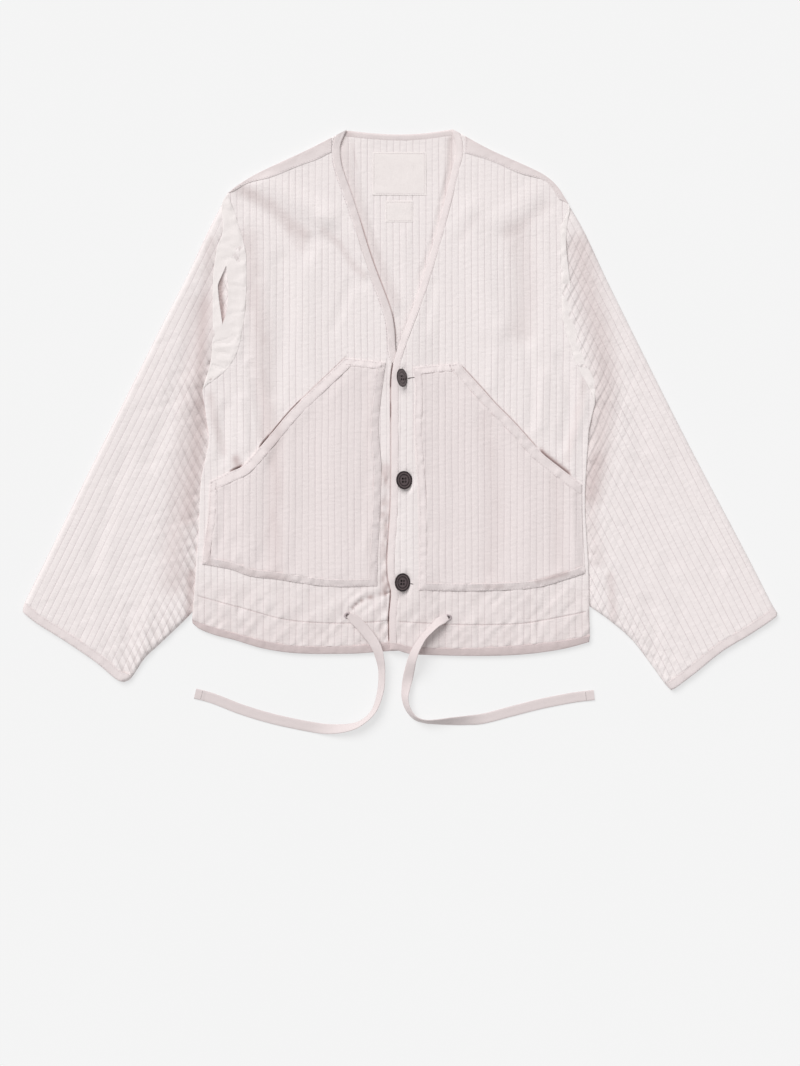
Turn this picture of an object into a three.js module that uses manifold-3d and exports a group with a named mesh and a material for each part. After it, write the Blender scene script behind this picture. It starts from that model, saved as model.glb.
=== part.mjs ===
// A quilted v-neck jacket laid flat on a table, in millimetres.
// +X is the wearer's left, +Y runs from hem to neck, +Z points up off the table.
// The origin is under the middle of the jacket, on the table.
import * as THREE from "three";
import { mergeVertices } from "three/addons/utils/BufferGeometryUtils.js";
import Module from "manifold-3d";

const wasm = await Module();
wasm.setup();

// Driving sizes of the cloth
const SEAM_GAP = 0.3;
const QUILT_PITCH = 7.8;
const QUILT_PUFF = 1;
const FRONT_WALL = 2.6;
const BACK_HEIGHT = 3;
const FRONT_BASE = BACK_HEIGHT + SEAM_GAP;
const PANEL_RISE = FRONT_WALL + QUILT_PUFF;
const SLEEVE_HEIGHT = 6.6;
const SLEEVE_WALL = 2.7;
const SLEEVE_GAP = 0.6;
const FOLD_INSET = 4;
const EDGE_DROP = 2.4;
const POCKET_WALL = 2;
const POCKET_PUFF = 0.9;
const TAPE_THICKNESS = 0.9;
const BINDING_PROUD = 0.4;

// Widths of the plain tapes
const NECK_TAPE = 7.5;
const FRONT_TAPE = 8.4;
const HEM_TAPE = 9.6;
const CUFF_TAPE = 11;
const POCKET_TAPE = 8.5;
const MOUTH_TAPE = 11.5;

// The front that lies on top climbs over the other one at the placket
const PLACKET_LIFT = 4.5;
const PLACKET_FULL_X = 15.6;
const PLACKET_ZERO_X = 46.8;
const PLACKET_FULL_Y = 85;
const PLACKET_ZERO_Y = 140;

// Cutting blocks reach past every layer of cloth
const CUT_LOW = -5;
const CUT_HIGH = 60;
const CUT_PAST = 20;
const MOUTH_CUT_PAST = 10;
const EDGE_CUT_PAST = 5;

// Columns and rows of the cloth sheets
const COARSE_STEP = 2 * QUILT_PITCH;
const BODY_ROWS = [-310, -210, -120, -30, 30, 85, 112, 140, 168, 196, 224, 252, 280, 310, 345];
const BACK_ENDS = [-260, 260];
const BACK_LOW_ROW = -310;
const BACK_V_ROWS = [50, 90, 150, 210, 270, 345];
const BACK_V_HALF = 11 * QUILT_PITCH;
const POCKET_ROWS = [-310, -150, -60, 0, 85];
const SLEEVE_ROWS = [-60, 0, 60, 120, 180, 240, 300, 360, 420, 480, 540, 600, 680];
const SLEEVE_ENDS = [-60, 260];
const SLEEVE_WIDTH = 196;

// The sleeve's cloth turns down toward its outer fold over this width
const FOLD_START = -2;
const FOLD_END = 7;

// Points nearer than this are one point; a sharp turn of a moved line is held to the limit
const SAME_POINT = 0.05;
const MITRE_LIMIT = 0.45;
const ROUNDING = 1e-6;

// Outlines, each row a point x, y. Right and left are the wearer's.
// A hem row is x, y of the outer edge, y of the tape's inner edge.
const NECK_BACK = [[-64.1, 334.9], [-32, 331.6], [-0.6, 330.2], [31, 331.8], [62.2, 336.3]];

const RIGHT = {
  shoulder: [[-64.1, 334.9], [-109.2, 311.7], [-170.4, 282.9], [-194.4, 268.5], [-206.4, 258.9]],
  armhole: [
    [-204.2, 253.9], [-195.4, 227.9], [-185.4, 193.1], [-183.8, 178.3], [-184.4, 131.7],
    [-188.4, 95.7], [-196.4, 65.3], [-209.9, 45.2], [-230.2, 30.1], [-236.9, 23.3],
  ],
  side: [
    [-236.9, 23.3], [-230.2, -22.1], [-228.8, -36.3], [-233.4, -60.8], [-238.6, -88],
    [-241.1, -143.5], [-246.4, -219.9], [-249, -250.6],
  ],
  hem: [
    [-248.6, -256, -251.5], [-240, -263, -255.3], [-220, -270.7, -261.5], [-199, -276, -267.5],
    [-163.4, -286.4, -276.8], [-123.7, -292, -282.9], [-57.8, -292.5, -282.9],
    [-30.4, -290.8, -280.5], [-12, -289.3, -278.5], [14, -288.4, -278.4],
  ],
  frontEdge: [
    [-65.4, 334], [-71, 318.8], [-71.8, 308], [-69.5, 291.2], [-54.2, 246.8], [-34.3, 182.5],
    [-10.8, 118.3], [-6.6, 95.7], [-4.6, 69.3], [3, 50], [11, 33], [14, 10],
  ],
  sleeveOuter: [
    [-206.4, 258.9], [-229.2, 215.7], [-254.4, 161.7], [-282, 107.7], [-354, -36.3],
    [-424.8, -180.3], [-451.2, -234.3], [-452.4, -242.5],
  ],
  cuff: [
    [-452.4, -242.5], [-436.7, -255.3], [-402.5, -276.8], [-364.9, -302.5], [-339.2, -323.8],
    [-330.6, -326.6],
  ],
  sleeveInner: [
    [-330.6, -326.6], [-323.2, -322.9], [-306, -298.1], [-288, -281], [-258, -252.3],
    [-249.9, -243.5],
  ],
  tapeOuter: [
    [-206.8, 258.1], [-213, 246.4], [-212.4, 213.3], [-218.4, 195.3], [-222.2, 174.9],
    [-224.2, 150.9], [-224.4, 94.5], [-226.8, 57.3],
  ],
  shoulderTape: [
    [-82, 325.7], [-82, 308], [-100.8, 298.7], [-118.8, 292.5], [-156, 277.3], [-181.2, 271.2],
    [-201, 260.5],
  ],
};

const LEFT = {
  shoulder: [[62.2, 336.3], [106.8, 311.7], [169.2, 282.9], [187.2, 268.5], [201.5, 246.8]],
  armhole: [
    [200.4, 237.3], [192.8, 220], [191.8, 211.4], [193.8, 117.9], [197.5, 95],
    [204, 74.8], [210.4, 54.5], [226, 26.1], [233.2, 5.7],
  ],
  side: [
    [233.2, 5.7], [226.8, -22.1], [225.1, -41.5], [221.9, -92.9], [221.9, -125.1],
    [226.1, -195.8], [226.8, -240.8], [227.6, -270.3],
  ],
  hem: [
    [226.6, -278.6, -270.9], [203.5, -285, -275.2], [183.7, -289, -278], [153.1, -292.9, -281.5],
    [122.4, -294.8, -283.8], [76.6, -295.1, -285.9], [16.8, -293.2, -284.3], [6, -291.2, -282.6],
    [-3.6, -288.2, -280], [-12.4, -288.3, -279.5],
  ],
  frontEdge: [
    [64, 335.2], [67.1, 311.1], [62.9, 291.2], [51.5, 243.8], [39.2, 197.8], [21, 138.8],
    [3, 90.3], [-5.5, 64.6], [-9.8, 40], [-10.2, -6.3], [-10.8, -108.3], [-15.1, -180.3],
    [-13.9, -203.2], [-10.6, -218.2], [-12.8, -249.2],
  ],
  sleeveOuter: [
    [201.5, 246.8], [219.6, 215.7], [244.8, 161.7], [271.2, 107.7], [343.2, -36.3],
    [418.8, -180.3], [446.4, -234.3], [452.4, -243.9],
  ],
  cuff: [
    [452.4, -243.9], [450.1, -248.8], [419.6, -269.7], [387.5, -289], [355.3, -314.7],
    [329.6, -334], [324.8, -336.3],
  ],
  sleeveInner: [
    [324.8, -336.3], [316.8, -327.5], [300.7, -305.1], [278.2, -276.2], [252.5, -253.6],
    [227.6, -235.8],
  ],
  tapeOuter: [
    [203.2, 243.4], [203, 236], [201.4, 228], [198.8, 200], [204.8, 142.7], [207.6, 110.1], [218.6, 64.5],
    [225.8, 49], [233.4, 32],
  ],
  shoulderTape: [
    [78, 327.6], [78, 307], [108, 297.9], [144.6, 282.3], [172.8, 274.1], [182, 265], [191, 251],
  ],
};

// Pockets: mouth is the slanted opening, the other lines are the sewn edges
const POCKET_RIGHT = {
  mouth: [
    [-227.3, -86.5], [-202.8, -74.6], [-187.4, -66.9], [-160.7, -37.1], [-131.8, -2.8],
    [-111.5, 17.5], [-65.5, 61.4],
  ],
  seam: [],
  edge: [
    [-65.5, 61.4], [-17.4, 56.1], [-24.8, -0.8], [-25.9, -27.5], [-22.7, -72.3], [-27.1, -180.3],
    [-27.7, -211.3], [-86.9, -211.6], [-148.2, -203.2], [-178.8, -199.4], [-203.3, -191],
    [-236.9, -184.9], [-235, -166.4], [-229.6, -128.1], [-227.3, -86.5],
  ],
};
const POCKET_LEFT = {
  mouth: [
    [70.6, 55], [96, 27.2], [114.2, 6.8], [136.7, -15.8], [168.8, -51.1], [188.2, -67.1],
    [217.1, -89.1],
  ],
  seam: [[217.3, -125.1]],
  edge: [
    [221.5, -195.7], [203.5, -201.8], [162.2, -213.2],
    [91.8, -217], [22.9, -216.3], [23.5, -189.3], [22.6, -108.9], [17.5, -22.1], [18.5, 26.1],
    [15.8, 49.6], [43.7, 52.9], [70.6, 55],
  ],
};

// Opening in the wide armhole tape, where its folded edge stands off
const TAPE_SLIT = [
  [-208, 172], [-214.4, 158], [-218, 147], [-212.5, 101.2], [-206.8, 121], [-206.2, 151],
];

// Large soft folds: a ridge has a positive height, a trough a negative one
const FOLDS = [
  { side: "right", from: [-182, 250], to: [-116, 208], height: -1.4, width: 17 },
  { side: "right", from: [-116, 208], to: [-54, 172], height: -1.1, width: 16 },
  { side: "right", from: [-168, 262], to: [-84, 228], height: 1.8, width: 22 },
  { side: "right", from: [-176, 110], to: [-168, 60], height: -1.2, width: 15 },
  { side: "right", from: [-196, 40], to: [-150, 150], height: 1.2, width: 20 },
  { side: "left", from: [128, 210], to: [171, 244], height: -1.3, width: 16 },
  { side: "left", from: [150, 205], to: [152, 100], height: -1.1, width: 34 },
  { side: "left", from: [90, 250], to: [112, 120], height: 1.4, width: 24 },
  { side: "left", from: [72, 203], to: [94, 232], height: -0.9, width: 12 },
];

// Long soft folds of the sleeves: s runs down the sleeve, t across it from the outer edge
const SLEEVE_FOLDS = [
  { side: "right", from: [60, 30], to: [330, 60], height: -1.1, width: 16 },
  { side: "right", from: [150, 95], to: [420, 120], height: -1, width: 18 },
  { side: "right", from: [520, 120], to: [585, 150], height: -1.2, width: 14 },
  { side: "left", from: [80, 40], to: [300, 48], height: -1.1, width: 16 },
  { side: "left", from: [200, 100], to: [440, 84], height: -1, width: 18 },
  { side: "left", from: [470, 130], to: [560, 165], height: -1.1, width: 15 },
];

// Free ends of the drawstring: rows are x, y, z of the middle line, roll in degrees off flat
const CORD_WIDTH = 12.4;
const CORD_THICKNESS = 1.2;
const CORD_TAB = 11;
const CORD_FLANK = 1;
const CORD_TAB_SLOPE = 4;
const CORD_TAB_RISE = 0.6 * CORD_THICKNESS;
const CORD_RIGHT = [
  [-61.6, -246, 7.9, 0], [-51, -254.6, 8, 0], [-41.6, -264.8, 8.3, 0], [-33.6, -275.2, 9.4, 8],
  [-27.5, -285.9, 10.9, 20], [-23.6, -299, 10, 38], [-21.7, -314.1, 7, 50], [-23, -335.1, 5.6, 52],
  [-29.3, -356.3, 6, 62], [-36.2, -366.5, 6.2, 67], [-45.1, -373.9, 6.2, 66], [-53.6, -378.4, 5.9, 58],
  [-62.8, -380.9, 5.3, 48], [-76, -382.7, 3.8, 30], [-90.8, -382.7, 2, 12], [-106, -380.6, 0.9, 0],
  [-122.5, -377.5, 0.8, 0], [-154.2, -370.4, 0.8, 0], [-189.5, -359.8, 0.8, 0], [-221.2, -347.5, 0.8, 0],
  [-234, -343.4, 0.8, 0], [-245.8, -340.5, 0.8, 0],
];
const CORD_LEFT = [
  [57, -248.8, 8.6, 8], [46.4, -254.2, 12.2, 42], [37.4, -262.6, 14.3, 54], [28.8, -271.9, 15.6, 57],
  [23, -280.6, 16.9, 50], [18.2, -289.4, 17, 41], [14.6, -299.4, 15.2, 31], [11.8, -310.5, 10.4, 17],
  [9.6, -321, 6.2, 12], [7.2, -332.7, 4.6, 33], [5.8, -346.1, 5.4, 52], [9.4, -359, 5.9, 60],
  [18.1, -369.7, 6.2, 67], [29.9, -373.9, 6.2, 69], [43.3, -374.3, 5.9, 60], [60.2, -373.4, 4.9, 42],
  [77, -372.5, 3.4, 26], [98.5, -370.8, 1.1, 4], [134.4, -361.6, 0.8, 0], [169.6, -352.7, 0.8, 0],
  [204.8, -345.8, 0.8, 0], [219, -343.8, 0.8, 0], [232.9, -342.2, 0.8, 0],
];

// Buttons: tilt turns the wearer's left edge down into the buttonhole, lean turns it on the cloth
const BUTTON_RADIUS = 11;
const BUTTON_HALF = 1.6;
const BUTTON_SEAT = 7.65;
const BUTTON_CLEARANCE = 0.5;
const BUTTON_HOLE_RADIUS = 1;
const BUTTON_HOLE_SPACING = 1.7;
const BUTTON_SIDES = 20;
const BUTTON_HOLE_SIDES = 6;

// Half section of a button, rows are radius, height: flat back, round rim, sunken face
const BUTTON_PROFILE = [
  [0, -BUTTON_HALF], [8.6, -BUTTON_HALF], [BUTTON_RADIUS, -0.5], [BUTTON_RADIUS, 0.5],
  [10.2, BUTTON_HALF], [8, 1.5], [7, 0.8], [0, 0.3],
];
const BUTTONS = [
  { name: "button_1", x: 2.4, y: 37.3, tilt: 58, lean: 6 },
  { name: "button_2", x: 4.9, y: -84.8, tilt: 33, lean: 3 },
  { name: "button_3", x: 2.9, y: -206.9, tilt: 36, lean: -2 },
];

// Flat labels on the inside of the back
const LABEL_THICKNESS = 0.7;
const LABELS = [
  { name: "label_large", x: [-33.1, 31.6], y: [256.7, 308.8] },
  { name: "label_small", x: [-17.8, 15.5], y: [224.6, 250.6] },
];

const cloth = new THREE.MeshStandardMaterial({ color: 0xe6dcdb, roughness: 0.82, metalness: 0 });
const tape = new THREE.MeshStandardMaterial({ color: 0xdfd1d2, roughness: 0.86, metalness: 0 });
const labelCloth = new THREE.MeshStandardMaterial({ color: 0xece5e3, roughness: 0.7, metalness: 0 });
const horn = new THREE.MeshStandardMaterial({ color: 0x3c2d2e, roughness: 0.35, metalness: 0 });

// Small maths helpers
function smooth(start, end, value) {
  const share = Math.min(Math.max((value - start) / (end - start), 0), 1);
  return share * share * (3 - 2 * share);
}

function distanceToLine(x, y, from, to) {
  const along = [to[0] - from[0], to[1] - from[1]];
  const length2 = along[0] ** 2 + along[1] ** 2;
  const share = Math.min(Math.max(((x - from[0]) * along[0] + (y - from[1]) * along[1]) / length2, 0), 1);
  return Math.hypot(x - from[0] - share * along[0], y - from[1] - share * along[1]);
}

function foldAt(table, side, x, y) {
  let height = 0;
  for (const fold of table) {
    if (fold.side !== side) continue;
    const away = distanceToLine(x, y, fold.from, fold.to);
    height += fold.height * (1 - smooth(0, fold.width, away));
  }
  return height;
}

function puff(across, height) {
  const phase = across / QUILT_PITCH - Math.floor(across / QUILT_PITCH);
  return height * Math.sin(Math.PI * phase);
}

// A line moved sideways by a distance, to the left of its own direction where that is positive
function offsetLine(points, distance) {
  return points.map((point, index) => {
    const before = points[Math.max(index - 1, 0)];
    const after = points[Math.min(index + 1, points.length - 1)];
    const first = new THREE.Vector2(point[0] - before[0], point[1] - before[1]);
    const second = new THREE.Vector2(after[0] - point[0], after[1] - point[1]);
    if (first.length() === 0) first.copy(second);
    if (second.length() === 0) second.copy(first);
    first.normalize();
    second.normalize();
    const normal = new THREE.Vector2(-first.y - second.y, first.x + second.x).normalize();
    const spread = Math.max(normal.dot(new THREE.Vector2(-first.y, first.x)), MITRE_LIMIT);
    return [point[0] + normal.x * distance / spread, point[1] + normal.y * distance / spread];
  });
}

function reversed(points) {
  return [...points].reverse();
}

// A line made longer at both ends
function extended(points, length) {
  const stretch = (end, next) => {
    const span = Math.hypot(end[0] - next[0], end[1] - next[1]);
    return [end[0] + (end[0] - next[0]) * length / span, end[1] + (end[1] - next[1]) * length / span];
  };
  return [stretch(points[0], points[1]), ...points.slice(1, -1), stretch(points.at(-1), points.at(-2))];
}

// One closed outline from several lines, without points that repeat
function joined(...lines) {
  const outline = [];
  for (const point of lines.flat()) {
    const last = outline.at(-1);
    if (!last || Math.hypot(point[0] - last[0], point[1] - last[1]) > SAME_POINT) outline.push(point);
  }
  const [first, last] = [outline[0], outline.at(-1)];
  if (Math.hypot(first[0] - last[0], first[1] - last[1]) < SAME_POINT) outline.pop();
  return outline;
}

// Closed solids and their meshes
function toSolid(geometry) {
  geometry.deleteAttribute("normal");
  geometry.deleteAttribute("uv");
  const merged = mergeVertices(geometry, 1e-4);
  return new wasm.Manifold(new wasm.Mesh({
    numProp: 3,
    vertProperties: new Float32Array(merged.attributes.position.array),
    triVerts: new Uint32Array(merged.index.array),
  }));
}

function toMesh(solid, name, material) {
  const result = solid.getMesh();
  const geometry = new THREE.BufferGeometry();
  geometry.setAttribute("position", new THREE.Float32BufferAttribute(result.vertProperties, 3));
  geometry.setIndex([...result.triVerts]);
  geometry.computeVertexNormals();
  const mesh = new THREE.Mesh(geometry, material);
  mesh.name = name;
  return mesh;
}

function prism(outline, low, high, hole) {
  const shape = new THREE.Shape(outline.map(([x, y]) => new THREE.Vector2(x, y)));
  if (hole) shape.holes.push(new THREE.Path(hole.map(([x, y]) => new THREE.Vector2(x, y))));
  const geometry = new THREE.ExtrudeGeometry(shape, { depth: high - low, bevelEnabled: false, steps: 1 });
  geometry.translate(0, 0, low);
  return toSolid(geometry);
}

// Joins an upper and a lower edge of a sheet that have different numbers of points
function skirt(indices, upper, lower, outward) {
  let i = 0;
  let j = 0;
  while (i < upper.length - 1 || j < lower.length - 1) {
    const climb = j === lower.length - 1
      || (i < upper.length - 1 && upper[i + 1].at <= lower[j + 1].at + ROUNDING);
    const next = climb ? upper[i + 1].index : lower[j + 1].index;
    if (outward) indices.push(upper[i].index, lower[j].index, next);
    else indices.push(upper[i].index, next, lower[j].index);
    if (climb) i += 1;
    else j += 1;
  }
}

// A closed sheet between a top and a bottom surface, on columns u and rows v.
// place turns u, v into x, y; mirrored says that it changes their hand.
function sheet({ topColumns, bottomColumns, rows, topAt, bottomAt, place, mirrored }) {
  const positions = [];
  const indices = [];
  function grid(columns, heightAt, upward) {
    const start = positions.length / 3;
    for (const v of rows) {
      for (const u of columns) {
        const [x, y] = place ? place(u, v) : [u, v];
        positions.push(x, y, heightAt(u, v));
      }
    }
    const at = (row, column) => start + row * columns.length + column;
    for (let row = 0; row < rows.length - 1; row += 1) {
      for (let column = 0; column < columns.length - 1; column += 1) {
        const near = [at(row, column), at(row, column + 1)];
        const far = [at(row + 1, column + 1), at(row + 1, column)];
        const corners = upward ? [...near, ...far] : [near[1], near[0], far[1], far[0]];
        indices.push(corners[0], corners[1], corners[2], corners[0], corners[2], corners[3]);
      }
    }
    return at;
  }
  const top = grid(topColumns, topAt, true);
  const bottom = grid(bottomColumns, bottomAt, false);
  const rowLine = (at, columns, row) => columns.map((u, column) => ({ index: at(row, column), at: u }));
  const columnLine = (at, column) => rows.map((v, row) => ({ index: at(row, column), at: v }));
  const lastRow = rows.length - 1;
  const [lastTop, lastBottom] = [topColumns.length - 1, bottomColumns.length - 1];
  skirt(indices, rowLine(top, topColumns, 0), rowLine(bottom, bottomColumns, 0), true);
  skirt(indices, rowLine(top, topColumns, lastRow), rowLine(bottom, bottomColumns, lastRow), false);
  skirt(indices, columnLine(top, 0), columnLine(bottom, 0), false);
  skirt(indices, columnLine(top, lastTop), columnLine(bottom, lastBottom), true);
  const geometry = new THREE.BufferGeometry();
  geometry.setAttribute("position", new THREE.Float32BufferAttribute(positions, 3));
  geometry.setIndex(mirrored ? reversed(indices) : indices);
  return toSolid(geometry);
}

// Columns at even steps that cover a range
function columnsOver(low, high, step) {
  const first = Math.floor(low / step) - 1;
  const last = Math.ceil(high / step) + 1;
  return Array.from({ length: last - first + 1 }, (_, index) => (first + index) * step);
}

function rangeOf(outline, axis) {
  const values = outline.map((point) => point[axis]);
  return [Math.min(...values), Math.max(...values)];
}

// Cuts a cloth layer of the body to an outline, quilted or plain
function bodyLayer(outline, { quilted, topAt, bottomAt, rows }) {
  const [low, high] = rangeOf(outline, 0);
  const coarse = columnsOver(low, high, COARSE_STEP);
  const fine = [];
  for (let x = coarse[0]; x <= coarse.at(-1) + ROUNDING; x += QUILT_PITCH / 2) fine.push(x);
  const layer = sheet({
    topColumns: quilted ? fine : coarse,
    bottomColumns: coarse,
    rows: rows ?? BODY_ROWS,
    topAt,
    bottomAt,
  });
  return layer.intersect(prism(outline, CUT_LOW, CUT_HIGH));
}

// Heights of the body's layers
function placketLift(x, y) {
  const across = 1 - Math.min(Math.max((x - PLACKET_FULL_X) / (PLACKET_ZERO_X - PLACKET_FULL_X), 0), 1);
  return PLACKET_LIFT * across * (1 - smooth(PLACKET_FULL_Y, PLACKET_ZERO_Y, y));
}

function baseOf(side, x, y) {
  return FRONT_BASE + (side === "left" ? placketLift(x, y) : 0);
}

function frontCrest(side, x, y) {
  return baseOf(side, x, y) + PANEL_RISE;
}

function frontTop(side, x, y) {
  return baseOf(side, x, y) + FRONT_WALL + puff(x, QUILT_PUFF) + foldAt(FOLDS, side, x, y);
}

function frontBottom(side, x, y) {
  return baseOf(side, x, y) + Math.max(foldAt(FOLDS, side, x, y), 0);
}

function pocketBase(side, x, y) {
  return frontCrest(side, x, y) + SEAM_GAP;
}

// A block along a line, from outside the cloth to a width inside it
function bandBlock(line, width, inward, past = 0) {
  const long = past > 0 ? extended(line, past) : line;
  const [outside, inside] = [-inward * CUT_PAST, inward * width];
  return prism([...offsetLine(long, outside), ...reversed(offsetLine(long, inside))], CUT_LOW, CUT_HIGH);
}

const group = new THREE.Group();

function add(solid, name, material) {
  group.add(toMesh(solid, name, material));
}

function outerHem(edges) {
  return edges.hem.map(([x, outer]) => [x, outer]);
}

function innerHem(edges, gap) {
  return edges.hem.map(([x, , inner]) => [x, inner + gap]);
}

// The two fronts' hems meet here on the back
function backHem(line) {
  return [...line(RIGHT).slice(0, -1), ...reversed(line(LEFT)).slice(1)];
}

// Back: quilted on the inside, where the V shows it, and flat where it rests
function makeBack() {
  const neckLine = offsetLine(NECK_BACK, -NECK_TAPE - SEAM_GAP);
  const outline = joined(
    reversed(neckLine), [[-65.6, 334.1]], RIGHT.shoulder.slice(1), RIGHT.armhole, RIGHT.side,
    backHem((edges) => innerHem(edges, SEAM_GAP)),
    reversed(LEFT.side), reversed(LEFT.armhole), reversed(LEFT.shoulder.slice(1)), [[64.4, 335.1]],
  );
  const fineHalf = BACK_V_HALF - QUILT_PITCH;
  const fineColumns = columnsOver(-fineHalf, fineHalf, QUILT_PITCH / 2);
  const inV = (x, y) => y > BACK_V_ROWS[0] && Math.abs(x) < BACK_V_HALF;
  const layer = sheet({
    topColumns: [BACK_ENDS[0], ...fineColumns, BACK_ENDS[1]],
    bottomColumns: BACK_ENDS,
    rows: [BACK_LOW_ROW, ...BACK_V_ROWS],
    topAt: (x, y) => BACK_HEIGHT - (inV(x, y) ? QUILT_PUFF - puff(x, QUILT_PUFF) : 0),
    bottomAt: () => 0,
  });
  add(layer.intersect(prism(outline, CUT_LOW, CUT_HIGH)), "back", cloth);
  const neckTape = [...NECK_BACK, ...reversed(offsetLine(NECK_BACK, -NECK_TAPE))];
  add(prism(neckTape, 0, BACK_HEIGHT + BINDING_PROUD), "neck_binding_back", tape);
  const hemTape = [...backHem(outerHem), ...reversed(backHem((edges) => innerHem(edges, 0)))];
  add(prism(hemTape, 0, BACK_HEIGHT), "hem_binding_back", tape);
}

// A front panel with the tapes that bind its front edge and its hem
function makeFront(side, edges, inward) {
  const outline = joined(
    edges.frontEdge.slice(0, 1), edges.shoulder.slice(1), edges.armhole, edges.side,
    innerHem(edges, SEAM_GAP), reversed(edges.frontEdge),
  );
  const edgeLine = [...edges.frontEdge, [edges.hem.at(-1)[0], BODY_ROWS[0]]];
  const plain = {
    quilted: false,
    topAt: (x, y) => frontCrest(side, x, y) + BINDING_PROUD,
    bottomAt: (x, y) => baseOf(side, x, y),
  };
  const quilted = {
    quilted: true,
    topAt: (x, y) => frontTop(side, x, y),
    bottomAt: (x, y) => frontBottom(side, x, y),
  };
  const room = bandBlock(edgeLine, FRONT_TAPE + SEAM_GAP, inward, EDGE_CUT_PAST);
  let panel = bodyLayer(outline, quilted).subtract(room);
  if (side === "left") {
    for (const button of BUTTONS) panel = panel.subtract(buttonholeBlock(button));
  }
  add(panel, `front_${side}`, cloth);
  const band = bandBlock(edgeLine, FRONT_TAPE, inward, EDGE_CUT_PAST);
  add(bodyLayer(outline, plain).intersect(band), `front_binding_${side}`, tape);
  const hem = joined(outerHem(edges), reversed(innerHem(edges, 0)));
  add(bodyLayer(hem, plain), `hem_binding_${side}`, tape);
}

// A pocket panel with a tape on its mouth and one round its sewn edges
function makePocket(side, pocket) {
  const outline = joined(pocket.mouth, pocket.seam, pocket.edge);
  const base = (x, y) => pocketBase(side, x, y);
  const quilted = {
    quilted: true, rows: POCKET_ROWS, bottomAt: base,
    topAt: (x, y) => base(x, y) + POCKET_WALL + puff(x, POCKET_PUFF),
  };
  const plain = {
    quilted: false, rows: POCKET_ROWS, bottomAt: base,
    topAt: (x, y) => base(x, y) + POCKET_WALL + POCKET_PUFF + BINDING_PROUD,
  };
  const mouthBlock = bandBlock(pocket.mouth, MOUTH_TAPE, -1, MOUTH_CUT_PAST);
  const mouthRoom = bandBlock(pocket.mouth, MOUTH_TAPE + SEAM_GAP, -1, MOUTH_CUT_PAST);
  const edgeBlock = bandBlock(pocket.edge, POCKET_TAPE, -1, EDGE_CUT_PAST);
  const edgeRoom = bandBlock(pocket.edge, POCKET_TAPE + SEAM_GAP, -1, EDGE_CUT_PAST);
  const whole = bodyLayer(outline, plain);
  add(bodyLayer(outline, quilted).subtract(mouthRoom).subtract(edgeRoom), `pocket_${side}`, cloth);
  add(whole.intersect(mouthBlock), `pocket_mouth_${side}`, tape);
  add(whole.intersect(edgeBlock).subtract(mouthRoom), `pocket_edge_${side}`, tape);
}

// Shoulder tape on the front's upper edge and armhole tape on the sleeve
function makeSeamTapes(side, edges, away) {
  const base = FRONT_BASE + PANEL_RISE + SEAM_GAP;
  const lower = reversed(edges.shoulderTape.slice(1));
  const shoulder = joined(edges.shoulderTape.slice(0, 1), edges.shoulder.slice(1), lower);
  add(prism(shoulder, base, base + TAPE_THICKNESS), `shoulder_tape_${side}`, tape);
  const seam = edges.armhole.map(([x, y]) => [x + away * SEAM_GAP, y]);
  const hole = side === "right" ? TAPE_SLIT : undefined;
  const low = SLEEVE_HEIGHT + SEAM_GAP;
  const armhole = joined(seam, reversed(edges.tapeOuter));
  add(prism(armhole, low, low + TAPE_THICKNESS, hole), `armhole_tape_${side}`, tape);
}

// A sleeve is one flat tube with a fold on each edge, open at the armhole and at the cuff
function makeSleeve(side, edges, away) {
  const top = edges.sleeveOuter[0];
  const low = edges.sleeveOuter.at(-2);
  const length = Math.hypot(low[0] - top[0], low[1] - top[1]);
  const down = [(low[0] - top[0]) / length, (low[1] - top[1]) / length];
  const inward = [away * down[1], -away * down[0]];
  const place = (t, s) => [top[0] + down[0] * s + inward[0] * t, top[1] + down[1] * s + inward[1] * t];
  const meetsBody = edges.sleeveInner.at(-1)[1];
  const clear = ([x, y]) => [x + away * SEAM_GAP, y];
  const sideLine = reversed(edges.side.slice(1).filter(([, y]) => y > meetsBody).map(clear));
  const seam = reversed(edges.armhole.map(clear));
  const outline = joined(edges.sleeveOuter, edges.cuff, edges.sleeveInner, sideLine, seam);
  const shell = (quilted) => sheet({
    topColumns: columnsOver(0, SLEEVE_WIDTH, quilted ? QUILT_PITCH / 2 : QUILT_PITCH * 3),
    bottomColumns: SLEEVE_ENDS,
    rows: SLEEVE_ROWS,
    topAt: (t, s) => {
      const drop = EDGE_DROP * (1 - smooth(FOLD_START, FOLD_END, t));
      if (!quilted) return SLEEVE_HEIGHT + BINDING_PROUD - drop;
      return SLEEVE_HEIGHT - QUILT_PUFF + puff(t, QUILT_PUFF) + foldAt(SLEEVE_FOLDS, side, s, t) - drop;
    },
    bottomAt: () => 0,
    place,
    mirrored: away < 0,
  });
  const hollowOutline = [
    ...offsetLine(extended(edges.sleeveOuter, CUT_PAST), -away * FOLD_INSET),
    ...offsetLine(extended([...edges.sleeveInner, ...sideLine], CUT_PAST), -away * FOLD_INSET),
    [edges.armhole[0][0] - away * CUT_PAST, edges.armhole.at(-1)[1] + CUT_PAST],
    [edges.armhole[0][0] - away * CUT_PAST, edges.armhole[0][1]],
  ];
  const hollow = prism(hollowOutline, SLEEVE_WALL, SLEEVE_WALL + SLEEVE_GAP);
  const body = prism(outline, CUT_LOW, CUT_HIGH).subtract(hollow);
  const cuffTurn = -away;
  const cuffRoom = bandBlock(edges.cuff, CUFF_TAPE + SEAM_GAP, cuffTurn, CUT_PAST);
  add(shell(true).intersect(body).subtract(cuffRoom), `sleeve_${side}`, cloth);
  const cuffBlock = bandBlock(edges.cuff, CUFF_TAPE, cuffTurn, CUT_PAST);
  add(shell(false).intersect(body).intersect(cuffBlock), `cuff_binding_${side}`, tape);
}

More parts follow.
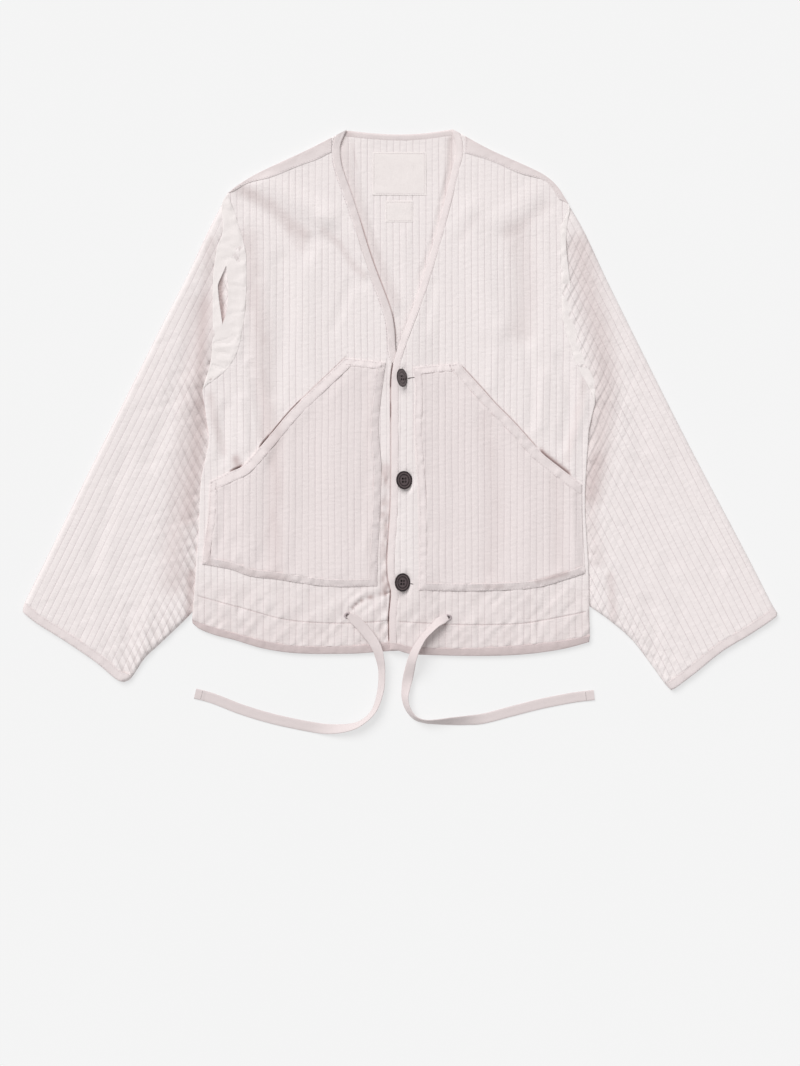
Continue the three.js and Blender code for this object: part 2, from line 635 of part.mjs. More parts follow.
// Labels
function makeLabel({ name, x, y }) {
  const low = BACK_HEIGHT + SEAM_GAP;
  const outline = [[x[0], y[0]], [x[1], y[0]], [x[1], y[1]], [x[0], y[1]]];
  add(prism(outline, low, low + LABEL_THICKNESS), name, labelCloth);
}

// Buttons
function buttonPlace({ x, y, tilt, lean }) {
  const turn = THREE.MathUtils.degToRad(tilt);
  const height = BUTTON_SEAT + BUTTON_RADIUS * Math.sin(turn) + BUTTON_HALF * Math.cos(turn);
  const matrix = new THREE.Matrix4().makeTranslation(x, y, height);
  matrix.multiply(new THREE.Matrix4().makeRotationZ(THREE.MathUtils.degToRad(lean)));
  return matrix.multiply(new THREE.Matrix4().makeRotationY(turn));
}

function buttonholeBlock(button) {
  const radius = BUTTON_RADIUS + BUTTON_CLEARANCE;
  const depth = 2 * (BUTTON_HALF + BUTTON_CLEARANCE);
  const block = new THREE.CylinderGeometry(radius, radius, depth, BUTTON_SIDES);
  block.rotateX(Math.PI / 2);
  return toSolid(block.applyMatrix4(buttonPlace(button)));
}

function makeButton(button) {
  const profile = BUTTON_PROFILE.map(([radius, height]) => new THREE.Vector2(radius, height));
  const disc = new THREE.LatheGeometry(profile, BUTTON_SIDES);
  disc.rotateX(Math.PI / 2);
  let solid = toSolid(disc);
  for (const [sideX, sideY] of [[-1, -1], [1, -1], [1, 1], [-1, 1]]) {
    const radius = BUTTON_HOLE_RADIUS;
    const hole = new THREE.CylinderGeometry(radius, radius, 6 * BUTTON_HALF, BUTTON_HOLE_SIDES);
    hole.rotateX(Math.PI / 2);
    hole.translate(sideX * BUTTON_HOLE_SPACING, sideY * BUTTON_HOLE_SPACING, 0);
    solid = solid.subtract(toSolid(hole));
  }
  const mesh = toMesh(solid, button.name, horn);
  mesh.applyMatrix4(buttonPlace(button));
  group.add(mesh);
}

// A flat cord end: a ring of six points at each row of its route, doubled where its end is folded back
function makeCord(name, route) {
  const points = route.map(([x, y, z]) => new THREE.Vector3(x, y, z));
  const tip = points.at(-1);
  const positions = [];
  const ringSize = 6;
  points.forEach((point, index) => {
    const before = points[Math.max(index - 1, 0)];
    const after = points[Math.min(index + 1, points.length - 1)];
    const along = after.clone().sub(before).normalize();
    const flat = new THREE.Vector3(-along.y, along.x, 0).normalize();
    const up = new THREE.Vector3().crossVectors(along, flat);
    const roll = THREE.MathUtils.degToRad(route[index][3]);
    const wide = flat.clone().multiplyScalar(Math.cos(roll)).addScaledVector(up, Math.sin(roll));
    const thick = up.clone().multiplyScalar(Math.cos(roll)).addScaledVector(flat, -Math.sin(roll));
    const half = CORD_THICKNESS / 2;
    const rise = point.distanceTo(tip) < CORD_TAB + CORD_TAB_SLOPE ? half + CORD_TAB_RISE : half;
    const edge = CORD_WIDTH / 2;
    const flank = edge - CORD_FLANK;
    const ring = [[-edge, 0], [-flank, -half], [flank, -half], [edge, 0], [flank, rise], [-flank, rise]];
    for (const [w, t] of ring) {
      const corner = point.clone().addScaledVector(wide, w).addScaledVector(thick, t);
      positions.push(corner.x, corner.y, corner.z);
    }
  });
  const indices = [];
  for (let ring = 0; ring < points.length - 1; ring += 1) {
    for (let corner = 0; corner < ringSize; corner += 1) {
      const a = ring * ringSize + corner;
      const b = ring * ringSize + (corner + 1) % ringSize;
      indices.push(a, b, b + ringSize, a, b + ringSize, a + ringSize);
    }
  }
  const last = (points.length - 1) * ringSize;
  for (let corner = 1; corner < ringSize - 1; corner += 1) {
    indices.push(0, corner + 1, corner);
    indices.push(last, last + corner, last + corner + 1);
  }
  const geometry = new THREE.BufferGeometry();
  geometry.setAttribute("position", new THREE.Float32BufferAttribute(positions, 3));
  geometry.setIndex(indices);
  add(toSolid(geometry), name, tape);
}

makeBack();
makeFront("right", RIGHT, -1);
makeFront("left", LEFT, 1);
makePocket("right", POCKET_RIGHT);
makePocket("left", POCKET_LEFT);
makeSleeve("right", RIGHT, -1);
makeSleeve("left", LEFT, 1);
makeSeamTapes("right", RIGHT, -1);
makeSeamTapes("left", LEFT, 1);
LABELS.forEach(makeLabel);
BUTTONS.forEach(makeButton);
makeCord("drawstring_right", CORD_RIGHT);
makeCord("drawstring_left", CORD_LEFT);

export default group;
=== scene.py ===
import math

import bpy
import numpy as np
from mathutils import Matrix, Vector
from mathutils.geometry import delaunay_2d_cdt
from mathutils.kdtree import KDTree


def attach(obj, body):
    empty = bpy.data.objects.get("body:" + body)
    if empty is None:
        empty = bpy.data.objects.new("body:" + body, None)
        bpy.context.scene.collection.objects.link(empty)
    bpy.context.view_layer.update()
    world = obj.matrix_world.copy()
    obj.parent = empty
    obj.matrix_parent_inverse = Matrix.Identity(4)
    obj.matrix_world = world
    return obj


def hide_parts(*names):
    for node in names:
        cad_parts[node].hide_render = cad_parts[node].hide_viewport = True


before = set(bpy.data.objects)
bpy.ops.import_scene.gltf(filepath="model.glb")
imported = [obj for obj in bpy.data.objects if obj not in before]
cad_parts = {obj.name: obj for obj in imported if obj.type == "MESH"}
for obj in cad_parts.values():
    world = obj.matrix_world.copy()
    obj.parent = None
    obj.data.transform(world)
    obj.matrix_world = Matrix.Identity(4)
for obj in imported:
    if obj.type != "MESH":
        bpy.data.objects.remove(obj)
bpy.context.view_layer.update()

# A quilted v-neck jacket laid flat. Tables are in millimetres and become metres in each mesh.
# +X is the wearer's left, +Y runs from hem to neck, +Z points up off the table.
MM = 0.001
PITCH = 7.8
STITCH = 3.2
SEAM_VALLEY = 0.6
STITCH_VALLEY = 0.5
FRONT_BASE = 3.3
PANEL_RISE = 3.6
BINDING_PROUD = 0.4
PUFF = 0.8
NARROW_GAP = 0.06
BACK_RISE = 3
BACK_UNDER_LABEL = 3.08
LABEL_BASE = 3.12
SLEEVE_TOP = 6.6
SLEEVE_HOLLOW = (2.7, 3.3)
SLEEVE_MIDDLE = 2.6
POCKET_RISE = 2.9
NECK_TAPE = 7.5
FRONT_TAPE = 8.4
CUFF_TAPE = 11
POCKET_TAPE = 8.5
MOUTH_TAPE = 11.5

NECK_BACK = [[-64.1, 334.9], [-32, 331.6], [-0.6, 330.2], [31, 331.8], [62.2, 336.3]]

RIGHT = {
    "shoulder": [[-64.1, 334.9], [-109.2, 311.7], [-170.4, 282.9], [-194.4, 268.5], [-206.4, 258.9]],
    "armhole": [
        [-206.4, 258.9], [-204.2, 253.9], [-195.4, 227.9], [-185.4, 193.1], [-183.8, 178.3],
        [-184.4, 131.7], [-188.4, 95.7], [-196.4, 65.3], [-209.9, 45.2], [-230.2, 30.1], [-236.9, 23.3],
    ],
    "side": [
        [-236.9, 23.3], [-230.2, -22.1], [-228.8, -36.3], [-233.4, -60.8], [-238.6, -88],
        [-241.1, -143.5], [-246.4, -219.9], [-249, -250.6],
    ],
    "hem": [
        [-248.6, -256, -251.5], [-240, -263, -255.3], [-220, -270.7, -261.5], [-199, -276, -267.5],
        [-163.4, -286.4, -276.8], [-123.7, -292, -282.9], [-57.8, -292.5, -282.9],
        [-30.4, -290.8, -280.5], [-12, -289.3, -278.5], [14, -288.4, -278.4],
    ],
    "front": [
        [-64.1, 334.9], [-71, 318.8], [-71.8, 308], [-69.5, 291.2], [-54.2, 246.8], [-34.3, 182.5],
        [-10.8, 118.3], [-6.6, 95.7], [-4.6, 69.3], [3, 50], [11, 33], [14, 10], [14, -140], [14, -288.4],
    ],
    "sleeve_outer": [
        [-206.4, 258.9], [-229.2, 215.7], [-254.4, 161.7], [-282, 107.7], [-354, -36.3],
        [-424.8, -180.3], [-451.2, -234.3], [-452.4, -242.5],
    ],
    "cuff": [
        [-452.4, -242.5], [-436.7, -255.3], [-402.5, -276.8], [-364.9, -302.5], [-339.2, -323.8],
        [-330.6, -326.6],
    ],
    "sleeve_inner": [
        [-330.6, -326.6], [-323.2, -322.9], [-306, -298.1], [-288, -281], [-258, -252.3],
        [-249.9, -243.5],
    ],
    "tape_outer": [
        [-206.8, 258.1], [-213, 246.4], [-212.4, 213.3], [-218.4, 195.3], [-222.2, 174.9],
        [-224.2, 150.9], [-224.4, 94.5], [-226.8, 57.3], [-236.9, 23.3],
    ],
    "shoulder_tape": [
        [-82, 325.7], [-82, 308], [-100.8, 298.7], [-118.8, 292.5], [-156, 277.3], [-181.2, 271.2],
        [-201, 260.5],
    ],
}

LEFT = {
    "shoulder": [[62.2, 336.3], [106.8, 311.7], [169.2, 282.9], [187.2, 268.5], [201.5, 246.8]],
    "armhole": [
        [201.5, 246.8], [200.4, 237.3], [192.8, 220], [191.8, 211.4], [193.8, 117.9], [197.5, 95],
        [204, 74.8], [210.4, 54.5], [226, 26.1], [233.2, 5.7],
    ],
    "side": [
        [233.2, 5.7], [226.8, -22.1], [225.1, -41.5], [221.9, -92.9], [221.9, -125.1],
        [226.1, -195.8], [226.8, -240.8], [227.6, -270.3],
    ],
    "hem": [
        [226.6, -278.6, -270.9], [203.5, -285, -275.2], [183.7, -289, -278], [153.1, -292.9, -281.5],
        [122.4, -294.8, -283.8], [76.6, -295.1, -285.9], [16.8, -293.2, -284.3], [6, -291.2, -282.6],
        [-3.6, -288.2, -280], [-12.4, -288.3, -279.5],
    ],
    "front": [
        [62.2, 336.3], [67.1, 311.1], [62.9, 291.2], [51.5, 243.8], [39.2, 197.8], [21, 138.8],
        [3, 90.3], [-5.5, 64.6], [-9.8, 40], [-10.2, -6.3], [-10.8, -108.3], [-15.1, -180.3],
        [-13.9, -203.2], [-10.6, -218.2], [-12.8, -249.2], [-12.4, -288.3],
    ],
    "sleeve_outer": [
        [201.5, 246.8], [219.6, 215.7], [244.8, 161.7], [271.2, 107.7], [343.2, -36.3],
        [418.8, -180.3], [446.4, -234.3], [452.4, -243.9],
    ],
    "cuff": [
        [452.4, -243.9], [450.1, -248.8], [419.6, -269.7], [387.5, -289], [355.3, -314.7],
        [329.6, -334], [324.8, -336.3],
    ],
    "sleeve_inner": [
        [324.8, -336.3], [316.8, -327.5], [300.7, -305.1], [278.2, -276.2], [252.5, -253.6],
        [227.6, -235.8],
    ],
    "tape_outer": [
        [203.2, 243.4], [203, 236], [201.4, 228], [198.8, 200], [204.8, 142.7], [207.6, 110.1],
        [218.6, 64.5], [225.8, 49], [233.4, 32], [233.2, 5.7],
    ],
    "shoulder_tape": [
        [78, 327.6], [78, 307], [108, 297.9], [144.6, 282.3], [172.8, 274.1], [182, 265], [191, 251],
    ],
}

POCKETS = {
    "right": {
        "mouth": [
            [-227.3, -86.5], [-202.8, -74.6], [-187.4, -66.9], [-160.7, -37.1], [-131.8, -2.8],
            [-111.5, 17.5], [-65.5, 61.4],
        ],
        "seam": [],
        "edge": [
            [-65.5, 61.4], [-17.4, 56.1], [-24.8, -0.8], [-25.9, -27.5], [-22.7, -72.3],
            [-27.1, -180.3], [-27.7, -211.3], [-86.9, -211.6], [-148.2, -203.2], [-178.8, -199.4],
            [-203.3, -191], [-236.9, -184.9], [-235, -166.4], [-229.6, -128.1], [-227.3, -86.5],
        ],
    },
    "left": {
        "mouth": [
            [70.6, 55], [96, 27.2], [114.2, 6.8], [136.7, -15.8], [168.8, -51.1], [188.2, -67.1],
            [217.1, -89.1],
        ],
        "seam": [[217.1, -89.1], [217.3, -125.1], [221.5, -195.7]],
        "edge": [
            [221.5, -195.7], [203.5, -201.8], [162.2, -213.2], [91.8, -217], [22.9, -216.3],
            [23.5, -189.3], [22.6, -108.9], [17.5, -22.1], [18.5, 26.1], [15.8, 49.6], [43.7, 52.9],
            [70.6, 55],
        ],
    },
}

# Opening in the wide armhole tape, where its folded edge stands off
TAPE_SLIT = [
    [-208, 172], [-214.4, 158], [-218, 147], [-212.5, 101.2], [-206.8, 121], [-206.2, 151],
]

# Free ends of the drawstring: rows are x, y, z of the middle line, roll in degrees off flat
CORD_WIDTH = 12.4
CORD_THICKNESS = 1.2
CORD_TAB = 11
CORD_RIGHT = [
    [-61.6, -246, 7.9, 0], [-51, -254.6, 8, 0], [-41.6, -264.8, 8.3, 0], [-33.6, -275.2, 9.4, 8],
    [-27.5, -285.9, 10.9, 20], [-23.6, -299, 10, 38], [-21.7, -314.1, 7, 50], [-23, -335.1, 5.6, 52],
    [-29.3, -356.3, 6, 62], [-36.2, -366.5, 6.2, 67], [-45.1, -373.9, 6.2, 66], [-53.6, -378.4, 5.9, 58],
    [-62.8, -380.9, 5.3, 48], [-76, -382.7, 3.8, 30], [-90.8, -382.7, 2, 12], [-106, -380.6, 0.9, 0],
    [-122.5, -377.5, 0.8, 0], [-154.2, -370.4, 0.8, 0], [-189.5, -359.8, 0.8, 0],
    [-221.2, -347.5, 0.8, 0], [-234, -343.4, 0.8, 0], [-245.8, -340.5, 0.8, 0],
]
CORD_LEFT = [
    [57, -248.8, 8.6, 8], [46.4, -254.2, 12.2, 42], [37.4, -262.6, 14.3, 54], [28.8, -271.9, 15.6, 57],
    [23, -280.6, 16.9, 50], [18.2, -289.4, 17, 41], [14.6, -299.4, 15.2, 31], [11.8, -310.5, 10.4, 17],
    [9.6, -321, 6.2, 12], [7.2, -332.7, 4.6, 33], [5.8, -346.1, 5.4, 52], [9.4, -359, 5.9, 60],
    [18.1, -369.7, 6.2, 67], [29.9, -373.9, 6.2, 69], [43.3, -374.3, 5.9, 60], [60.2, -373.4, 4.9, 42],
    [77, -372.5, 3.4, 26], [98.5, -370.8, 1.1, 4], [134.4, -361.6, 0.8, 0], [169.6, -352.7, 0.8, 0],
    [204.8, -345.8, 0.8, 0], [219, -343.8, 0.8, 0], [232.9, -342.2, 0.8, 0],
]

# Buttons: tilt turns the wearer's left edge down into the cloth, lean turns it on the cloth
BUTTON_RADIUS = 11
BUTTON_HALF = 1.6
HOLE_OFFSET = 1.9
BUTTON_SEAT = 7.65
BUTTONS = [
    {"name": "button_1", "x": 2.4, "y": 37.3, "tilt": 58, "lean": 6},
    {"name": "button_2", "x": 4.9, "y": -84.8, "tilt": 33, "lean": 3},
    {"name": "button_3", "x": 2.9, "y": -206.9, "tilt": 36, "lean": -2},
]

BUTTONHOLES = [
    [[9.4, 37], [13, 37.6], [19, 38.4]],
    [[12.6, -208.4], [15.6, -209]],
]

LABELS = [
    {"name": "label_large", "x": [-33.1, 31.6], "y": [256.7, 308.8]},
    {"name": "label_small", "x": [-17.8, 15.5], "y": [224.6, 250.6]},
]

# Soft creases of the fronts: a line of points, its height, its half width. A trough beside a ridge
# makes one fold.
CREASES = {
    "right": [
        ([[-204, 262], [-164, 236], [-138, 216], [-112, 190]], -2, 16),
        ([[-184, 286], [-146, 262], [-116, 244], [-88, 232]], 3.2, 24),
        ([[-104, 204], [-86, 200], [-68, 180], [-46, 150]], -1.3, 12),
        ([[-92, 230], [-66, 216], [-48, 194], [-34, 172]], 1.6, 15),
        ([[-203, 120], [-204, 60]], 1.1, 14),
        ([[-188, 172], [-186, 110], [-190, 64]], -1.5, 13),
        ([[-166, 150], [-168, 90], [-172, 40]], 0.9, 12),
        ([[-144, 176], [-140, 100], [-150, 20]], -1.6, 18),
        ([[-178, 50], [-168, 4], [-160, -34]], -1.7, 11),
        ([[-190, 12], [-184, -44]], 1.7, 11),
        ([[-209, 2], [-213, -60]], -1.5, 10),
        ([[-225, 0], [-229, -60]], 1, 9),
        ([[-60, 150], [-80, 96]], -0.9, 11),
        ([[-110, 160], [-112, 90], [-106, 30]], 1, 20),
        ([[-62, -244], [-50, -232], [-36, -226], [-13, -220]], -1.6, 3.2),
        ([[-60, -231], [-44, -221], [-22, -215]], 0.9, 6),
        ([[-46, -250], [-28, -236], [-16, -230]], 1, 7),
    ],
    "left": [
        ([[128, 209], [150, 222], [174, 242]], -0.8, 14),
        ([[116, 226], [138, 240], [160, 258]], 1.1, 20),
        ([[148, 200], [152, 150], [150, 92]], -2.1, 26),
        ([[84, 236], [98, 170], [110, 100]], 1.6, 28),
        ([[72, 202], [92, 230]], -0.5, 9),
        ([[62, 212], [82, 240]], 0.4, 10),
        ([[192, 60], [204, 20], [196, -40]], -1.8, 13),
        ([[214, 44], [222, 8], [208, -38], [206, -74]], 1.5, 11),
        ([[172, 40], [168, -20]], 1.2, 14),
        ([[40, 150], [30, 100]], -1, 10),
        ([[150, 84], [160, 20], [156, -20]], -1.2, 12),
        ([[120, 96], [110, 30]], 1, 16),
    ],
}

# Soft folds of the back inside the V, beside the fronts' edges
BACK_CREASES = [
    ([[-68, 306], [-52, 250], [-32, 188], [-10, 124]], 2, 16),
    ([[60, 320], [59, 290], [50, 250]], -1.3, 5),
    ([[48, 240], [38, 200], [26, 164]], -0.9, 5),
    ([[-38, 236], [-22, 180]], -0.8, 6),
    ([[6, 210], [8, 130]], 0.7, 12),
]

# Small wrinkles of the wide armhole tape
BAND_CREASES = [
    ([[-214, 179], [-206, 181], [-196, 184]], -0.7, 2.6),
    ([[-222, 80], [-208, 82], [-196, 89]], -0.9, 2.6),
    ([[-221, 74], [-206, 75], [-198, 79]], 0.7, 2.6),
    ([[-220, 68], [-204, 67]], -0.9, 2.6),
    ([[-218, 60], [-210, 58]], 0.6, 3),
    ([[-200, 149], [-186, 146]], -0.6, 2.2),
    ([[-202, 116], [-186, 117]], -0.6, 2.4),
    ([[-202, 100], [-190, 98]], -0.5, 2.4),
    ([[-224, 52], [-212, 49]], -1, 2.2),
]

# Soft folds of the pockets' panels
POCKET_CREASES = {
    "right": [
        ([[-150, -20], [-158, -90], [-162, -190]], -1.5, 15),
        ([[-186, -78], [-190, -190]], 0.9, 14),
        ([[-134, -20], [-132, -110], [-138, -195]], 1, 14),
        ([[-76, 30], [-80, -80], [-72, -196]], 0.9, 26),
        ([[-44, 40], [-42, -60], [-48, -160]], -0.8, 12),
        ([[-214, -90], [-216, -180]], -0.8, 8),
    ],
    "left": [
        ([[44, 40], [50, -60], [46, -190]], 0.8, 18),
        ([[106, -2], [116, -90], [112, -205]], -1, 24),
        ([[146, -46], [152, -120], [148, -200]], 0.9, 20),
        ([[186, -86], [190, -196]], -0.8, 16),
        ([[206, -100], [210, -190]], 0.7, 10),
    ],
}

# Parts of a pocket's mouth that stand open, between two x: darkness and width of the hollow
# The darkness sets both how deep the hollow sinks and the painted shade laid in it
GAPES = {
    "right": [
        (-205, -187, 1.3, 1.7), (-170, -154, 1.7, 1.3), (-158, -116, 1.2, 0.8), (-120, -60, 0.4, 0.7),
    ],
    "left": [(72, 166, 0.75, 0.8), (166, 206, 1.5, 2.6)],
}

# Parts of the left front's edge that stand off the right front, between two y: darkness
# The darkness sets both how deep the hollow sinks and the painted shade laid in it
EDGE_GAPES = [(22, 76, 1.6), (-20, 76, 0.8), (-14, 12, 1.3), (-240, -8, 0.55), (-280, -212, 1.4)]

# Cloth that lies in shade: a line of points, its darkness, its half width
SHADES = {
    "right": [
        ([[-190, 264], [-157, 245], [-132, 223], [-114, 209]], 0.36, 13),
        ([[-134, 216], [-118, 194]], 0.16, 10),
        ([[-92, 214], [-71, 196], [-57, 174], [-42, 160]], 0.24, 8),
        ([[-182, 204], [-176, 150], [-168, 100], [-164, 40], [-156, -30]], 0.3, 22),
        ([[-227, 16], [-220, -20], [-212, -50]], 0.26, 9),
        ([[-196, -60], [-194, -70]], 0.7, 9),
        ([[-18, -70], [-19, -140], [-18, -215]], 0.42, 11),
        ([[-62, -243], [-50, -231], [-36, -225], [-13, -219]], 0.7, 1.8),
    ],
    "left": [
        ([[128, 211], [150, 224], [172, 243]], 0.12, 12),
        ([[140, 215], [150, 150], [146, 95]], 0.18, 26),
        ([[222, 40], [214, 0], [200, -60]], 0.22, 9),
        ([[74, 204], [92, 230]], 0.08, 8),
    ],
    "right_pocket": [
        ([[-150, -22], [-150, -100], [-150, -206]], 0.28, 17),
        ([[-232, -96], [-231, -150], [-229, -190]], 0.28, 8),
        ([[-210, -186], [-170, -198], [-136, -203]], 0.22, 9),
        ([[-38, 30], [-40, -90], [-36, -200]], 0.1, 10),
    ],
    "left_pocket": [
        ([[104, -10], [112, -90], [110, -200]], 0.12, 20),
        ([[186, -86], [190, -196]], 0.12, 14),
        ([[164, -206], [200, -196]], 0.5, 5),
        ([[102, -212], [122, -212]], 0.4, 4.5),
    ],
    "right_sleeve": [
        ([[-215, 160], [-215, 135], [-212, 108]], 0.9, 6),
        ([[-226, 200], [-232, 150], [-236, 100], [-238, 50], [-240, 10]], 0.24, 11),
        ([[-238, 0], [-242, -60], [-252, -130]], 0.3, 17),
        ([[-234, 120], [-242, 50], [-248, -20], [-256, -80], [-266, -150], [-268, -205]], 0.3, 30),
        ([[-250, -196], [-253, -250]], 0.5, 9),
        ([[-223, 57], [-224, 49]], 1.5, 3.4),
    ],
    "left_sleeve": [
        ([[216, 196], [226, 140], [240, 84], [246, 30], [238, -40], [228, -100]], 0.36, 26),
        ([[236, -60], [228, -120], [236, -180]], 0.2, 16),
        ([[252, -200], [256, -250]], 0.3, 9),
    ],
    "back": [
        ([[-70, 330], [-66, 300], [-56, 262], [-42, 215], [-24, 170], [-8, 130]], 0.22, 14),
        ([[-57, 318], [-52, 290]], 0.2, 3),
        ([[61, 326], [60, 290], [54, 248]], 0.34, 8),
        ([[50, 244], [38, 190], [24, 158]], 0.12, 8),
    ],
}

# Long soft creases of the sleeves: s runs down the sleeve, t across it from the outer edge
SLEEVE_CREASES = {
    "right": [
        ([[40, 22], [180, 40], [330, 60]], -1.3, 16),
        ([[60, 44], [190, 62], [300, 80]], 1, 16),
        ([[150, 95], [280, 104], [420, 120]], -1.1, 18),
        ([[330, 30], [470, 52]], -0.9, 14),
        ([[500, 118], [590, 152]], -1.2, 12),
        ([[480, 134], [560, 162]], 0.9, 10),
        ([[430, 60], [560, 96]], 0.7, 18),
    ],
    "left": [
        ([[40, 26], [170, 40], [300, 48]], -1.3, 15),
        ([[60, 48], [190, 60], [300, 70]], 1, 15),
        ([[200, 100], [320, 94], [440, 84]], -1.1, 18),
        ([[330, 26], [470, 36]], -0.9, 12),
        ([[470, 130], [560, 165]], -1.1, 13),
        ([[430, 104], [560, 128]], 0.8, 16),
    ],
}

# Stitch lines of the drawstring's channel, across each front
CHANNEL = {
    "right": [[-240, -224], [-186.5, -238.5], [-132.8, -252.2], [-65.5, -256], [0, -252]],
    "left": [[0, -254], [67.3, -257.6], [137.8, -256.9], [168.4, -253], [222, -242.3]],
}
EYELETS = {"right": [-62.2, -246.7], "left": [57.2, -249.2]}


# Smooth steps, noise and lines
def smooth(low, high, value):
    share = np.clip((value - low) / (high - low), 0, 1)
    return share * share * (3 - 2 * share)


def rounded(distance, radius):
    share = 1 - np.clip(distance / radius, 0, 1)
    return np.sqrt(np.maximum(1 - share * share, 0))


def tapered(outer, width, low, high, rim=0.25):
    """Height of a sewn tape: pressed thin at its free edge, full where it meets the cloth"""
    body = smooth(-width / 3, width * 1.1, outer)
    return low + (high - low) * (rim * rounded(outer, 1) + (1 - rim) * body)


def noise(x, y, seed):
    """Smooth noise from -1 to 1, one bump to each unit square"""
    table = np.random.default_rng(seed).uniform(-1, 1, (64, 64))
    x = np.asarray(x, float)
    y = np.asarray(y, float)
    left = np.floor(x)
    low = np.floor(y)
    across = smooth(0, 1, x - left)
    up = smooth(0, 1, y - low)
    i = left.astype(int) % 64
    j = low.astype(int) % 64
    lower = table[i, j] * (1 - across) + table[(i + 1) % 64, j] * across
    upper = table[i, (j + 1) % 64] * (1 - across) + table[(i + 1) % 64, (j + 1) % 64] * across
    return lower * (1 - up) + upper * up


def curve(points, step):
    """A smooth line through points, with a point at about each step"""
    points = np.array(points, float)
    spans = np.linalg.norm(np.diff(points[:, :2], axis=0), axis=1)
    at = np.concatenate([[0], np.cumsum(spans)])
    slopes = np.empty_like(points)
    slopes[0] = (points[1] - points[0]) / spans[0]
    slopes[-1] = (points[-1] - points[-2]) / spans[-1]
    slopes[1:-1] = (points[2:] - points[:-2]) / (at[2:] - at[:-2])[:, None]
    line = [points[:1]]
    for index, span in enumerate(spans):
        count = max(int(round(span / step)), 1)
        t = (np.arange(1, count + 1) / count)[:, None]
        line.append(
            (1 + 2 * t) * (1 - t) ** 2 * points[index] + t * (1 - t) ** 2 * span * slopes[index]
            + t * t * (3 - 2 * t) * points[index + 1] + t * t * (t - 1) * span * slopes[index + 1]
        )
    return np.vstack(line)


def dense(points, step=3, corner=36):
    """A smooth line that keeps its sharp turns"""
    points = np.array(points, float)
    runs = []
    start = 0
    for index in range(1, len(points) - 1):
        before = points[index] - points[index - 1]
        after = points[index + 1] - points[index]
        turn = math.atan2(after[1], after[0]) - math.atan2(before[1], before[0])
        turn = abs((turn + math.pi) % (2 * math.pi) - math.pi)
        if math.degrees(turn) > corner:
            runs.append(points[start:index + 1])
            start = index
    runs.append(points[start:])
    lines = [curve(run, step) for run in runs]
    return np.vstack([lines[0]] + [line[1:] for line in lines[1:]])


def joined(*lines):
    """One outline from several lines, without points that repeat"""
    points = np.vstack(lines)
    keep = [points[0]]
    for point in points[1:]:
        if np.hypot(*(point - keep[-1])) > 0.2:
            keep.append(point)
    if np.hypot(*(keep[0] - keep[-1])) < 0.2:
        keep.pop()
    return np.array(keep)


def along(points, line, closed=False):
    """Distance from each point to a line, and how far along the line its nearest point is"""
    points = np.asarray(points, float)
    line = np.asarray(line, float)
    if closed:
        line = np.vstack([line, line[:1]])
    tree = KDTree(len(line))
    for index, spot in enumerate(line):
        tree.insert((spot[0], spot[1], 0), index)
    tree.balance()
    nearest = np.array([tree.find((x, y, 0))[1] for x, y in points], dtype=int)
    run = np.diff(line, axis=0)
    length = np.maximum(np.hypot(run[:, 0], run[:, 1]), 1e-9)
    travelled = np.concatenate([[0], np.cumsum(length)])
    distance = np.full(len(points), np.inf)
    place = np.zeros(len(points))
    ends = [nearest - 1, nearest]
    if closed:
        ends = [(nearest - 1) % len(run), nearest % len(run)]
    for first in ends:
        first = np.clip(first, 0, len(run) - 1)
        offset = points - line[first]
        share = np.clip((offset * run[first]).sum(1) / length[first] ** 2, 0, 1)
        gap = np.hypot(*(offset - share[:, None] * run[first]).T)
        nearer = gap < distance
        distance[nearer] = gap[nearer]
        place[nearer] = (travelled[first] + share * length[first])[nearer]
    return distance, place


def away(points, line, closed=False):
    return along(points, line, closed)[0] if len(points) else np.zeros(0)


def inside(points, polygon):
    """Which points an outline holds"""
    points = np.asarray(points, float)
    after = np.roll(polygon, -1, axis=0)
    chunk = 4000
    parts = [held(points[first:first + chunk], polygon, after) for first in range(0, len(points), chunk)]
    return np.concatenate(parts) if parts else np.zeros(0, bool)


def moved(line, distance, polygon=None):
    """A line moved sideways: into the polygon where one is given, else to its left"""
    run = np.diff(line, axis=0)
    run /= np.maximum(np.hypot(run[:, 0], run[:, 1]), 1e-9)[:, None]
    side = np.column_stack([-run[:, 1], run[:, 0]])
    before, after = np.vstack([side[:1], side]), np.vstack([side, side[-1:]])
    normal = before + after
    normal /= np.maximum(np.hypot(normal[:, 0], normal[:, 1]), 1e-9)[:, None]
    spread = np.maximum((normal * before).sum(1), 0.4)
    normal /= spread[:, None]
    if polygon is not None:
        middle = len(line) // 2
        if not inside([line[middle] + normal[middle] * 1.5], polygon)[0]:
            normal = -normal
    shifted = line + normal * distance
    return shifted[away(shifted, line) > abs(distance) - 0.05]


# Nets of triangles that fill an outline
RINGS = (0.35, 1, 2, 3.2)


